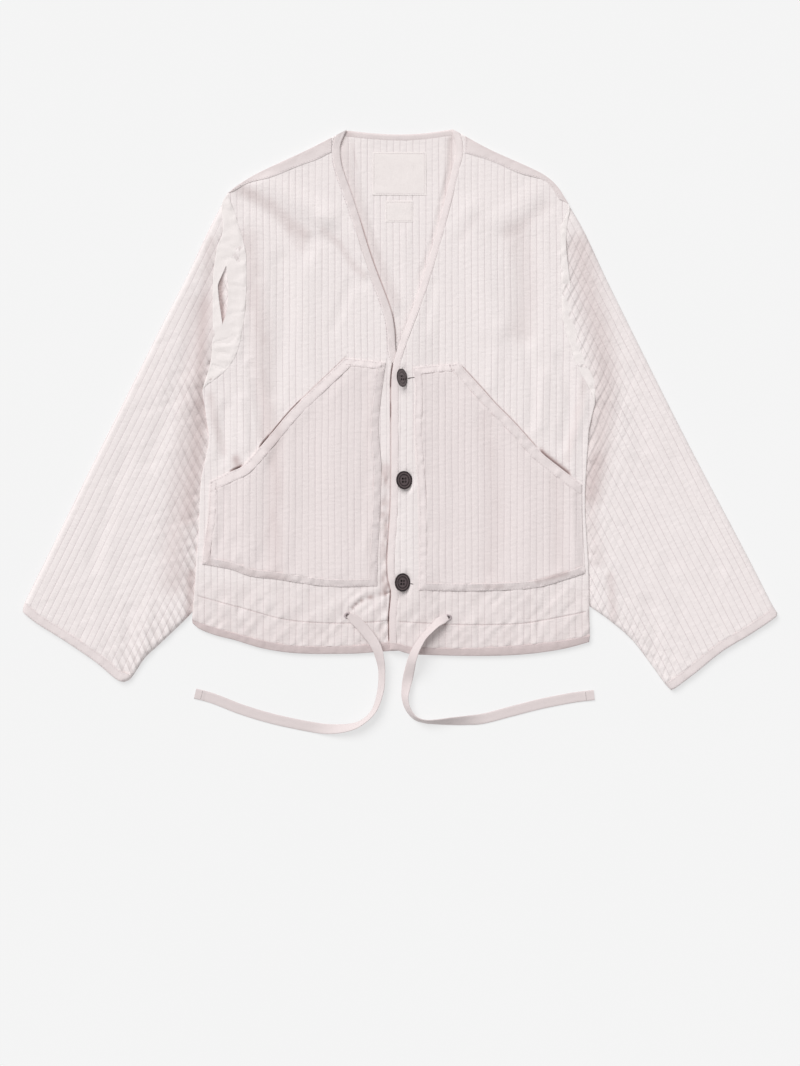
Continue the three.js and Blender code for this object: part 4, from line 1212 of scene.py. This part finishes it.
# Buttons
def button_frame(button):
    """Centre and turning matrix of a button"""
    tilt, lean = math.radians(button["tilt"]), math.radians(button["lean"])
    height = BUTTON_SEAT + BUTTON_RADIUS * math.sin(tilt) + BUTTON_HALF * math.cos(tilt)
    about_y = np.array([
        [math.cos(tilt), 0, math.sin(tilt)], [0, 1, 0], [-math.sin(tilt), 0, math.cos(tilt)],
    ])
    about_z = np.array([
        [math.cos(lean), -math.sin(lean), 0], [math.sin(lean), math.cos(lean), 0], [0, 0, 1],
    ])
    return np.array([button["x"], button["y"], height]), about_z @ about_y


def button_slot(button):
    """Opening of the cloth where the button's lower edge goes in"""
    centre, turn = button_frame(button)
    edge = centre + turn @ np.array([BUTTON_RADIUS, 0, 0])
    return ellipse(edge[:2] - [2.4, 0], 3, 6.6)


def buttons_press(side, at, height):
    """How far the cloth gives way under each tilted button"""
    if side != "left":
        return np.zeros(len(at))
    change = np.zeros(len(at))
    for button in BUTTONS:
        centre, turn = button_frame(button)
        offset = at - centre[:2]
        facing = turn @ np.array([0, 0, 1.0])
        under = centre[2] - (facing[0] * offset[:, 0] + facing[1] * offset[:, 1]) / facing[2]
        under -= (BUTTON_HALF + 0.35) / facing[2]
        local = offset @ turn[:2, :2]
        reach = np.hypot(local[:, 0] / math.cos(math.radians(button["tilt"])) ** 2, local[:, 1])
        share = 1 - smooth(BUTTON_RADIUS - 0.5, BUTTON_RADIUS + 7, reach)
        room = np.maximum(under - FRONT_BASE - PLACKET_RISE, 0.7)
        change = np.minimum(change, np.minimum(room - height, 0) * share)
    return change


def make_button(button):
    centre, turn = button_frame(button)
    outline = ellipse((0, 0), BUTTON_RADIUS, BUTTON_RADIUS, 96)
    corners = [(x * HOLE_OFFSET, y * HOLE_OFFSET) for x in (-1, 1) for y in (-1, 1)]
    holes = [ellipse(corner, 1.15, 1.15, 20) for corner in corners]
    rings = [
        ellipse((0, 0), radius, radius, 72)
        for radius in (10.85, 10.6, 10.2, 9.7, 9.2, 8.7, 8.2, 7.7, 7.3, 6.9, 6.4, 5.6, 4.6, 3.6)
    ]
    spots, faces = net(outline, [], np.vstack(rings + [[(0, 0)]]), holes, borders=[])

    def top(at):
        radius = np.hypot(at[:, 0], at[:, 1])
        crown = BUTTON_HALF * (0.35 + 0.65 * rounded(BUTTON_RADIUS - radius, 2.1))
        return crown - 1.4 * (1 - smooth(6.6, 8, radius)) + 0.12 * (1 - radius / 7) * (radius < 7)

    def bottom(at):
        radius = np.hypot(at[:, 0], at[:, 1])
        return -BUTTON_HALF * (0.35 + 0.65 * rounded(BUTTON_RADIUS - radius, 2.6))

    points, faces, flat = layer(spots, faces, top, bottom, extra=np.vstack(rings[1::2]))
    piece(
        f"horn_{button['name']}", (points @ turn.T + centre, faces, flat),
        PAINTS["horn"], [button["name"]], sharp=40,
    )
    threads = []
    for y in (-HOLE_OFFSET, HOLE_OFFSET):
        across = np.linspace(-HOLE_OFFSET, HOLE_OFFSET, 9)
        sag = -0.35 - 1.2 * (np.abs(across) > 1.8)
        line = np.column_stack([across, np.full(9, y), sag + 0.75])
        threads.append(sweep(line, 0.26, 6))
    shank = curve([[0, 0, -1.2], [0.4, 0, -2.2], [0.9, 0, -3.1]], 0.5)
    threads.append(sweep(shank, np.linspace(4, 1.3, len(shank)), 16))
    points, faces, flat = merged(threads)
    piece(
        f"thread_{button['name']}", (points @ turn.T + centre, faces, flat),
        PAINTS["button_thread"],
    )


def make_buttonholes():
    """The ends of two buttonholes that show beside their buttons"""
    parts = []
    for row in BUTTONHOLES:
        line = curve(row, 0.8)
        height = SURFACES["left"](line) + 0.05
        parts.append(sweep(np.column_stack([line, height]), 0.42, 6))
    piece("thread_buttonholes", parts, PAINTS["button_thread"])


# Stitches that lie on the cloth
STITCHES = []


def rows_of_stitches(line, height_at, shift, polygon, toward=None, pitch=3.4, length=2.2):
    """A row of separate stitches beside a line"""
    if toward is not None:
        left = moved(line, 1.0)
        nearer = away(left, toward).mean() < away(line, toward).mean()
        line = moved(line, abs(shift) if nearer else -abs(shift))
    elif shift:
        line = moved(line, shift, polygon)
    spans = np.hypot(*np.diff(line, axis=0).T)
    travelled = np.concatenate([[0], np.cumsum(spans)])
    starts = np.arange(1.5, travelled[-1] - length, pitch)
    at = (starts[:, None] + np.linspace(0, length, 4)[None]).ravel()
    x, y = np.interp(at, travelled, line[:, 0]), np.interp(at, travelled, line[:, 1])
    flat = np.column_stack([x, y])
    keep = inside(flat, polygon)
    z = height_at(flat) + np.tile([-0.16, 0.12, 0.12, -0.16], len(starts))
    threads = np.column_stack([flat, z]).reshape(-1, 4, 3)
    for thread, held_in in zip(threads, keep.reshape(-1, 4)):
        if held_in.all() and np.ptp(thread[:, 2]) < 1.2:
            STITCHES.append(sweep(thread, [0.1, 0.22, 0.22, 0.1], 5))


# Pockets
def pocket_base(side, spots):
    return base_of(side, spots) + PANEL_RISE + 0.1


def make_pocket(side):
    pocket = POCKETS[side]
    seed = 51 if side == "right" else 71
    mouth, edge = dense(pocket["mouth"], 1.5), dense(pocket["edge"], 1.5)
    lines = [mouth]
    if pocket["seam"]:
        lines.append(dense(pocket["seam"], 1.5))
    lines.append(edge)
    polygon = joined(*lines)
    mouth_line = moved(mouth, MOUTH_TAPE, polygon)
    edge_line = moved(edge, POCKET_TAPE, polygon)
    mouth_line = mouth_line[inside(mouth_line, polygon)]
    edge_line = edge_line[inside(edge_line, polygon) & (away(edge_line, mouth) > MOUTH_TAPE - 2)]
    spots, faces = net(polygon, [mouth_line, edge_line], body_grid(polygon, seed), borders=lines)
    middles = spots[faces].mean(axis=1)
    in_mouth = away(middles, mouth) < MOUTH_TAPE
    in_edge = ~in_mouth & (away(middles, edge) < POCKET_TAPE)
    quilt = body_quilt(seed)

    def bottom(at):
        return pocket_base(side, at)

    def gape(at):
        """The mouth's tape stands off the panel where it is used most"""
        distance, place = along(at, mouth)
        length = np.hypot(*np.diff(mouth, axis=0).T).sum()
        reach = math.pi * np.clip(place / length, 0, 1)
        return np.sin(reach) ** 2 * (1 - smooth(0, 26, distance))

    def tape_top(line, width, at, number):
        outer, place = along(at, line)
        inner = width - outer
        free = np.minimum(outer, away(at, polygon, True))
        z = tapered(free, width, 0.7, POCKET_RISE + BINDING_PROUD, 0.05) - 0.25 * (1 - rounded(inner, 0.8))
        z -= 0.22 * bell(inner - 1.4, STITCH_VALLEY) + 0.12 * bell(outer - 1.4, STITCH_VALLEY)
        return z + 0.75 * noise(place / 5.5, outer / 11, number) * smooth(0, 3, outer)

    def edge_top(at):
        return pocket_base(side, at) + tape_top(edge, POCKET_TAPE, at, seed + 1)

    def mouth_top(at):
        return pocket_base(side, at) + tape_top(mouth, MOUTH_TAPE, at, seed + 2) + 1.6 * gape(at)

    def panel_top(at):
        x, y = at.T
        tape_gap = np.minimum(away(at, edge) - POCKET_TAPE, away(at, mouth) - MOUTH_TAPE)
        free = away(at, polygon, True)
        puff = channel_crest(quilt(at)[:, 0], y, seed + 3)
        z = (POCKET_RISE - PUFF + PUFF * puff) * (0.75 + 0.25 * rounded(free, 2))
        if pocket["seam"]:
            z *= 0.2 + 0.8 * smooth(-2, 12, away(at, lines[1]))
        z -= 0.26 * bell(tape_gap, SEAM_VALLEY)
        z += 0.45 * noise(x / 6, y / 24, seed + 4) * fade(tape_gap, 10)
        z += 0.35 * noise(x / 26, y / 7, seed + 5) * fade(tape_gap, 10)
        z += 0.3 * noise(x / 34, y / 30, seed + 6)
        z += crease_height(POCKET_CREASES[side], at) * smooth(0, 12, tape_gap)
        if side == "right":
            corner = (1 - smooth(-166, -126, x)) * smooth(-110, -150, y)
            z += 0.7 * noise(x / 7, y / 16, seed + 8) * corner
        return pocket_base(side, at) + np.maximum(z, 0.7) + 1.2 * gape(at)

    def shade(at):
        dim = crease_height(SHADES[f"{side}_pocket"], at)
        return dim * (0.9 + 0.3 * noise(at[:, 0] / 9, at[:, 1] / 16, seed + 30))

    panel = piece(
        f"cloth_pocket_{side}", layer(spots, faces[~in_mouth & ~in_edge], panel_top, bottom, quilt),
        PAINTS["pocket"], [f"pocket_{side}"], shade=shade,
    )
    mouth_piece = piece(
        f"tape_mouth_{side}", layer(spots, faces[in_mouth], mouth_top, bottom),
        PAINTS["tape"], [f"pocket_mouth_{side}"], shade=shade,
    )
    edge_piece = piece(
        f"tape_pocket_{side}", layer(spots, faces[in_edge], edge_top, bottom),
        PAINTS["edge"], [f"pocket_edge_{side}"], shade=shade,
    )
    rows_of_stitches(mouth, mouth_top, MOUTH_TAPE - 1.4, polygon)
    rows_of_stitches(mouth, mouth_top, 1.5, polygon)
    rows_of_stitches(edge, edge_top, POCKET_TAPE - 1.4, polygon)
    rows_of_stitches(edge, edge_top, 1.4, polygon)
    area_of(polygon)


# Back
def make_back():
    neck = dense(NECK_BACK, 1.5)

    def whole_hem(column):
        right, left = hem_line(RIGHT, column, 3), hem_line(LEFT, column, 3)[::-1]
        return joined(right[right[:, 0] < 5], left[left[:, 0] > 8])

    hem_outer, hem_inner = whole_hem(1), whole_hem(2)
    sides = [
        joined(dense(edges["shoulder"], 4), dense(edges["armhole"], 4), dense(edges["side"], 4))
        for edges in (RIGHT, LEFT)
    ]
    polygon = joined(neck[::-1], sides[0], hem_outer, sides[1][::-1])
    neck_line = moved(neck, NECK_TAPE, polygon)
    neck_line = neck_line[inside(neck_line, polygon)]
    u, v = channel_grid(-84, 84, 52, 332, 4.5)
    fine = np.column_stack([u * PITCH + wander(u * PITCH, v, 5), v])
    rough = scatter(polygon, 24)
    rough = rough[(rough[:, 1] < 46) | (np.abs(rough[:, 0]) > 96)]
    free_edge = dense(RIGHT["front"], 2)
    free_edge = free_edge[free_edge[:, 1] > 84]
    beside = [free_edge + np.array([gap, 0]) for gap in (0.3, 1, 1.8)]
    beside = [line[inside(line, polygon) & (line[:, 1] < 310)] for line in beside]
    spots, faces = net(polygon, [hem_inner, neck_line] + beside, np.vstack([fine, rough]), borders=[neck])
    middles = spots[faces].mean(axis=1)
    in_hem = middles[:, 1] < np.interp(middles[:, 0], hem_inner[:, 0], hem_inner[:, 1])
    in_neck = away(middles, neck) < NECK_TAPE
    quilt = body_quilt(5)

    def bottom(at):
        return np.zeros(len(at))

    def panel_top(at):
        x, y = at.T
        shown = (1 - smooth(84, 90, np.abs(x))) * smooth(48, 56, y)
        bind = away(at, neck) - NECK_TAPE
        puff = channel_crest(quilt(at)[:, 0], y, 6)
        z = BACK_RISE - PUFF + PUFF * puff + 0.28 * noise(x / 36, y / 28, 7)
        z += 0.4 * noise(x / 24, y / 7, 8) * fade(bind, 12)
        z += crease_height(BACK_CREASES, at)
        for label in LABELS:
            beyond = np.abs(at - np.array([np.mean(label["x"]), np.mean(label["y"])]))
            beyond -= np.array([np.ptp(label["x"]), np.ptp(label["y"])]) / 2
            z = np.minimum(z, BACK_UNDER_LABEL + 0.3 * np.maximum(beyond.max(axis=1) - 1.5, 0))
        return BACK_RISE * (1 - shown) + z * shown

    def shade(at):
        thin = bell(away(at, free_edge) - 0.7, 0.8)
        thin *= (0.25 + 0.55 * smooth(240, 215, at[:, 1])) * smooth(312, 296, at[:, 1])
        return crease_height(SHADES["back"], at) + thin

    def neck_top(at):
        outer, place = along(at, neck)
        z = 1 + 2.4 * rounded(outer, 2.4) * (0.85 + 0.15 * rounded(NECK_TAPE - outer, 1))
        z -= 0.3 * bell(NECK_TAPE - outer - 1.4, STITCH_VALLEY)
        return z + 0.22 * noise(place / 9, outer / 9, 9) * smooth(0, 2, outer)

    def hem_top(at):
        return np.full(len(at), float(BACK_RISE))

    back = piece(
        "cloth_back", layer(spots, faces[~in_hem & ~in_neck], panel_top, bottom, quilt),
        PAINTS["cloth"], ["back"], shade=shade,
    )
    neck_piece = piece(
        "tape_neck", layer(spots, faces[in_neck], neck_top, bottom),
        PAINTS["tape"], ["neck_binding_back"],
        shade=lambda at: 0.12 + 0.2 * (1 - smooth(0, 14, np.abs(at[:, 0] + 64))),
    )
    hem_piece = piece(
        "tape_hem_back", layer(spots, faces[in_hem], hem_top, bottom),
        PAINTS["tape"], ["hem_binding_back"],
    )
    rows_of_stitches(neck, neck_top, NECK_TAPE - 1.4, polygon)
    area_of(polygon)


# Sleeves: s runs down the outer fold, t across from it
def sleeve_frame(edges, away_side):
    top, low = np.array(edges["sleeve_outer"][0]), np.array(edges["sleeve_outer"][-2])
    down = (low - top) / np.hypot(*(low - top))
    return top, down, np.array([away_side * down[1], -away_side * down[0]])


def make_sleeve(side):
    edges, away_side, seed = (RIGHT, -1, 91) if side == "right" else (LEFT, 1, 111)
    clear = np.array([away_side * NARROW_GAP, 0])
    outer, cuff = dense(edges["sleeve_outer"], 2), dense(edges["cuff"], 1.3)
    inner = dense(edges["sleeve_inner"], 2)
    seam = dense(edges["armhole"], 1.5) + clear
    side_line = dense(edges["side"], 2)
    side_line = side_line[side_line[:, 1] > inner[-1, 1]] + clear
    polygon = joined(outer, cuff, inner, side_line[::-1], seam[::-1])
    folds = joined(inner, side_line[::-1])
    slit = joined(dense(TAPE_SLIT + TAPE_SLIT[:1], 2))
    top, down, across = sleeve_frame(edges, away_side)

    def to_sleeve(at):
        offset = at - top
        return offset @ down, offset @ across

    def quilt(at):
        s, t = to_sleeve(at)
        return np.column_stack([(t - wander(t, s, seed)) / PITCH, s / STITCH])

    u, v = channel_grid(0, 190, -30, 640)
    t = u * PITCH + wander(u * PITCH, v, seed)
    grid = top + v[:, None] * down + t[:, None] * across
    cuff_line = moved(cuff, CUFF_TAPE, polygon)
    cuff_line = cuff_line[inside(cuff_line, polygon)]
    insets = [moved(outer, 4, polygon), moved(folds, 4, polygon)]
    insets = [line[inside(line, polygon)] for line in insets]
    spots, faces = net(polygon, [cuff_line] + insets, grid, borders=[outer, folds, cuff, seam])
    middles = spots[faces].mean(axis=1)
    in_cuff = away(middles, cuff) < CUFF_TAPE

    def fold_gap(at):
        return np.minimum(away(at, outer), away(at, folds))

    def shape(at):
        """Share of the full height that the rounded folds leave"""
        return rounded(away(at, outer), 6), rounded(away(at, inner), 5)

    def bottom(at):
        edge = fold_gap(at)
        return 2.2 * (1 - rounded(edge, 3.8))

    def sleeve_top(at):
        s, t = to_sleeve(at)
        bind = away(at, cuff) - CUFF_TAPE
        joint = away(at, seam)
        round_outer, round_inner = shape(at)
        puff = channel_crest(quilt(at)[:, 0], s, seed + 1)
        z = SLEEVE_TOP - 0.6 + 0.6 * puff
        near_body = fade(away(at, folds), 32) + 0.7 * fade(joint, 30)
        z += (0.16 + 0.62 * np.minimum(near_body, 1)) * crossed(s, t, 8.5, seed + 2)
        z += 0.35 * noise(s / 60, t / 30, seed + 8)
        z += 0.45 * noise(t / 6, s / 24, seed + 4) * fade(bind, 11)
        z += 0.4 * noise(t / 20, s / 8, seed + 5) * fade(joint, 13)
        z += crease_height(SLEEVE_CREASES[side], np.column_stack([s, t]))
        z -= 0.3 * bell(bind, SEAM_VALLEY)
        z -= 1.5 * (1 - smooth(-3, 17, away(at, side_line)))
        z -= 2 * (1 - smooth(2, 7, np.hypot(at[:, 0] + 226, at[:, 1] - 54))) * (side == "right")
        if side == "right":
            sunk = inside(at, slit) * smooth(0, 4, away(at, slit, True))
            z -= 2.4 * sunk
        z = SLEEVE_MIDDLE + (z - SLEEVE_MIDDLE) * round_outer * round_inner
        return np.maximum(z, bottom(at) + 0.4) - 0.4 * (1 - smooth(0, 4, joint))

    def cuff_top(at):
        open_end, place = along(at, cuff)
        width = CUFF_TAPE - open_end
        round_outer, round_inner = shape(at)
        z = 5.4 + 1.6 * rounded(open_end, 2.2) * (0.93 + 0.07 * rounded(width, 0.9))
        z -= 0.25 * bell(width - 1.5, STITCH_VALLEY) + 0.15 * bell(open_end - 1.6, STITCH_VALLEY)
        z += 0.4 * noise(place / 6.5, open_end / 12, seed + 6)
        return SLEEVE_MIDDLE + (z - SLEEVE_MIDDLE) * round_outer * round_inner

    # Where the crossing folds show: their bumped creases and the painted shade in them
    def lozenges(at):
        near = fade(np.minimum(away(at, folds), away(at, seam)) - 8, 22)
        if side == "left":
            near *= 0.25 + 0.35 * smooth(-110, -20, at[:, 1])
        return near * (1 - smooth(196, 224, at[:, 1]))

    fold_rings = np.vstack([
        line[inside(line, polygon)] for distance in (0.8, 2, 3.9)
        for line in (moved(outer[::3], distance, polygon), moved(folds[::3], distance, polygon))
    ])
    extra = np.vstack([fold_rings, scatter(polygon, 40)])
    sleeve = piece(
        f"cloth_sleeve_{side}",
        tube(spots, faces[~in_cuff], sleeve_top, bottom, fold_gap, quilt, extra),
        PAINTS["cloth"], [f"sleeve_{side}"],
        shade=lambda at: crease_height(SHADES[f"{side}_sleeve"], at), lozenges=lozenges,
    )
    binding = piece(
        f"tape_cuff_{side}",
        tube(spots, faces[in_cuff], cuff_top, bottom, fold_gap, quilt, extra),
        PAINTS["tape"], [f"cuff_binding_{side}"],
    )
    rows_of_stitches(cuff, cuff_top, CUFF_TAPE - 1.5, polygon)
    rows_of_stitches(cuff, cuff_top, 1.6, polygon)
    2 * area_of(polygon)


# Tapes that lie over the seams
def tape_grid(polygon, step=2.2):
    low, high = polygon.min(axis=0), polygon.max(axis=0)
    xs, ys = np.arange(low[0], high[0], step), np.arange(low[1], high[1], step)
    return np.array([(x, y) for x in xs for y in ys])


def make_seam_tapes(side):
    edges, away_side, seed = (RIGHT, -1, 131) if side == "right" else (LEFT, 1, 151)
    shoulder, lower = dense(edges["shoulder"], 1.6), dense(edges["shoulder_tape"], 1.6)
    upper = shoulder[np.abs(shoulder[:, 0]) > abs(lower[0, 0]) + 1]
    polygon = joined(lower[:1], upper, lower[:0:-1])
    spots, faces = net(polygon, [], tape_grid(polygon), borders=[polygon])

    def level(at):
        lift = np.maximum(front_creases(side, at) * smooth(0, 14, away(at, shoulder)), 0)
        return FRONT_BASE + PANEL_RISE + 0.12 + lift

    def flat_tape(outline, outer_line, number, rise):
        def top(at):
            edge = away(at, outline, True)
            distance, place = along(at, outer_line)
            z = 0.12 + rise * rounded(edge, 1.4) - 0.12 * bell(edge - 1.7, STITCH_VALLEY)
            return z + 0.35 * noise(place / 6, distance / 10, number) * smooth(0, 2.5, edge)
        return top

    strip = flat_tape(polygon, shoulder, seed, 0.35)
    tape = piece(
        f"tape_shoulder_{side}",
        layer(spots, faces, lambda at: level(at) + strip(at), level),
        PAINTS["tape"], [f"shoulder_tape_{side}"],
        shade=lambda at: 0.2 * fade(away(at, shoulder), 4),
    )
    rows_of_stitches(lower, lambda at: level(at) + strip(at), 1.7, polygon)
    area_of(polygon)

    seam = dense(edges["armhole"], 1.6) + np.array([away_side * NARROW_GAP, 0])
    outer = dense(edges["tape_outer"], 1.6)
    polygon = joined(seam, outer[::-1])
    holes = [joined(dense(TAPE_SLIT + TAPE_SLIT[:1], 2))] if side == "right" else []
    spots, faces = net(polygon, [], tape_grid(polygon), holes, borders=[polygon])
    low = SLEEVE_TOP + 0.3
    band = flat_tape(polygon, outer, seed + 2, 0.35)

    def band_top(at):
        joint, place = along(at, seam)
        roll = 0.35 * bell(joint - 4, 3)
        pleats = 0.8 * noise(joint / 16, place / 5.5, seed + 4) * fade(joint, 14)
        if side == "right":
            pleats += crease_height(BAND_CREASES, at)
        lips = 0
        if holes:
            lips = 1.1 * bell(away(at, holes[0], True) - 1.4, 1.5)
        return low + band(at) + roll + pleats * smooth(0, 2, away(at, polygon, True)) + lips

    tape = piece(
        f"tape_armhole_{side}", layer(spots, faces, band_top, lambda at: np.full(len(at), low)),
        PAINTS["band"], [f"armhole_tape_{side}"],
    )
    share = area_of(polygon) - (area_of(holes[0]) if holes else 0)


def make_label(label):
    (left, right), (low, high) = label["x"], label["y"]
    corners = [(left, low), (right, low), (right, high), (left, high), (left, low)]
    polygon = joined(dense(corners, 1.5))
    spots, faces = net(polygon, [], tape_grid(polygon, 2.5), borders=[polygon])

    def top(at):
        edge = away(at, polygon, True)
        z = 0.1 + 0.22 * rounded(edge, 0.8) - 0.12 * bell(edge - 2, 0.55)
        return 3.15 + z + 0.2 * noise(at[:, 0] / 24, at[:, 1] / 9, len(label["name"])) * smooth(0, 4, edge)

    made = piece(
        f"cloth_{label['name']}", layer(spots, faces, top, lambda at: np.full(len(at), LABEL_BASE)),
        PAINTS["label"], [label["name"]],
    )
    rows_of_stitches(np.vstack([polygon, polygon[:1]]), top, 2, polygon, pitch=2.8, length=1.9)
    area_of(polygon)


# Drawstring ends and their sewn eyelets
def make_cord(name, route):
    rows = curve(np.array(route, float), 2.0)
    points, roll = rows[:, :3], np.radians(rows[:, 3])
    spans = np.linalg.norm(np.diff(points, axis=0), axis=1)
    travelled = np.concatenate([[0], np.cumsum(spans)])
    left_over = travelled[-1] - travelled
    run = np.gradient(points, axis=0)
    run /= np.linalg.norm(run, axis=1)[:, None]
    flat = np.column_stack([-run[:, 1], run[:, 0], np.zeros(len(run))])
    flat /= np.linalg.norm(flat, axis=1)[:, None]
    up = np.cross(run, flat)
    wide = flat * np.cos(roll)[:, None] + up * np.sin(roll)[:, None]
    thick = up * np.cos(roll)[:, None] - flat * np.sin(roll)[:, None]
    width = CORD_WIDTH / 2 * (0.6 + 0.4 * smooth(0, 9, travelled))
    tab = 1 - smooth(CORD_TAB - 0.8, CORD_TAB + 0.2, left_over)
    groove = bell(left_over - CORD_TAB + 2, 0.7)
    across = np.array([
        -1, -0.97, -0.85, -0.5, 0, 0.5, 0.85, 0.97, 1, 0.97, 0.85, 0.5, 0, -0.5, -0.85, -0.97,
    ])
    lift = np.array([0, -0.7, -1, -1, -1, -1, -1, -0.7, 0, 0.7, 1, 1, 1, 1, 1, 0.7])
    rib = np.array([0, 0, 0.06, 0, 0.04, 0, 0.06, 0, 0, 0, 0.1, -0.05, 0.05, -0.05, 0.1, 0])
    height = lift[None] * CORD_THICKNESS / 2 + rib[None]
    upper = (lift > 0)[None]
    height = height + 0.55 * upper * tab[:, None] - 0.3 * upper * groove[:, None]
    cup = 0.5 * (across ** 2)[None] * np.sin(travelled / 31)[:, None] * smooth(10, 40, travelled)[:, None]
    cup = cup * (np.cos(roll) < 0.9)[:, None]
    ring = (
        points[:, None] + wide[:, None] * (across[None] * width[:, None])[..., None]
        + thick[:, None] * (height + cup)[..., None]
    )
    count = len(across)
    low = 0.02
    corners = ring.reshape(-1, 3)
    corners[:, 2] = np.maximum(corners[:, 2], low)
    faces = []
    for index in range(len(points) - 1):
        for corner in range(count):
            a, b = index * count + corner, index * count + (corner + 1) % count
            faces.append((a, a + count, b + count, b))
    faces.append(tuple(range(count)))
    faces.append(tuple((len(points) - 1) * count + corner for corner in range(count - 1, -1, -1)))
    coordinates = np.column_stack([
        np.tile(across, len(points)) * CORD_WIDTH, np.repeat(travelled, count),
    ]) / STITCH
    made = piece(name.replace("drawstring", "cord"), (corners, faces, coordinates),
                 PAINTS["cord"], [name], sharp=70)
    seam_line = np.array([
        points[index] + wide[index] * share * 5 + thick[index] * (CORD_THICKNESS / 2 + 0.5)
        for index in [int(np.abs(left_over - CORD_TAB + 2).argmin())] for share in np.linspace(-1, 1, 13)
    ])
    seam = [sweep(seam_line[start:start + 2], 0.26, 5) for start in range(0, 12, 2)]
    piece(name.replace("drawstring", "thread_cord"), seam, PAINTS["button_thread"])


def make_eyelet(side):
    centre = np.array(EYELETS[side])
    rim = ellipse(centre, 4, 3, 34)
    height = SURFACES[side](rim)
    parts = []
    for index, spot in enumerate(rim):
        outward = (spot - centre) / np.hypot(*(spot - centre))
        low = height[index]
        loop = [
            [*(spot - outward * 0.9), low - 1.2], [*(spot - outward * 0.8), low],
            [*spot, low + 0.3], [*(spot + outward * 0.8), low + 0.1], [*(spot + outward * 1.1), low - 0.5],
        ]
        parts.append(sweep(curve(loop, 0.7), 0.3, 6))
    piece(f"thread_eyelet_{side}", parts, PAINTS["thread"])


# Floor, light and camera
ROOM_LIGHT = 0.46
WINDOW_LIGHT = 2.42
WINDOW_FROM = (-0.55, 0.8, 1)


def make_camera():
    lens = bpy.data.cameras.new("camera")
    lens.sensor_width = 36
    lens.lens = 84.43
    camera = bpy.data.objects.new("camera", lens)
    camera.location = (0, -0.1479, 3)
    bpy.context.scene.collection.objects.link(camera)
    bpy.context.scene.camera = camera


def make_studio():
    """A bright room and one large soft window, up and to the left"""
    world = bpy.data.worlds.new("studio")
    world.use_nodes = True
    world.node_tree.nodes["Background"].inputs["Color"].default_value = (1, 1, 1, 1)
    world.node_tree.nodes["Background"].inputs["Strength"].default_value = ROOM_LIGHT
    bpy.context.scene.world = world
    bpy.context.scene.view_settings.view_transform = "Standard"
    lamp = bpy.data.lights.new("window", "SUN")
    lamp.energy = WINDOW_LIGHT
    lamp.angle = math.radians(38)
    light = bpy.data.objects.new("window", lamp)
    light.rotation_euler = Vector(WINDOW_FROM).to_track_quat("Z", "Y").to_euler()
    bpy.context.scene.collection.objects.link(light)
    mesh = bpy.data.meshes.new("floor")
    reach, drop = 4.0, 0.0002
    around = ((-1, -1), (1, -1), (1, 1), (-1, 1))
    corners = [(x * reach, y * reach, -drop) for x, y in around]
    mesh.from_pydata(corners, [], [(0, 1, 2, 3)])
    mesh.materials.append(pale_floor())
    floor = bpy.data.objects.new("floor", mesh)
    bpy.context.scene.collection.objects.link(floor)


make_camera()
make_cord("drawstring_right", CORD_RIGHT)
make_cord("drawstring_left", CORD_LEFT)
make_studio()
make_back()
for part_side in ("right", "left"):
    make_front(part_side)
    make_pocket(part_side)
    make_sleeve(part_side)
    make_seam_tapes(part_side)
    make_eyelet(part_side)
for part_label in LABELS:
    make_label(part_label)
for part_button in BUTTONS:
    make_button(part_button)
make_buttonholes()
piece("thread_rows", STITCHES, PAINTS["thread"])
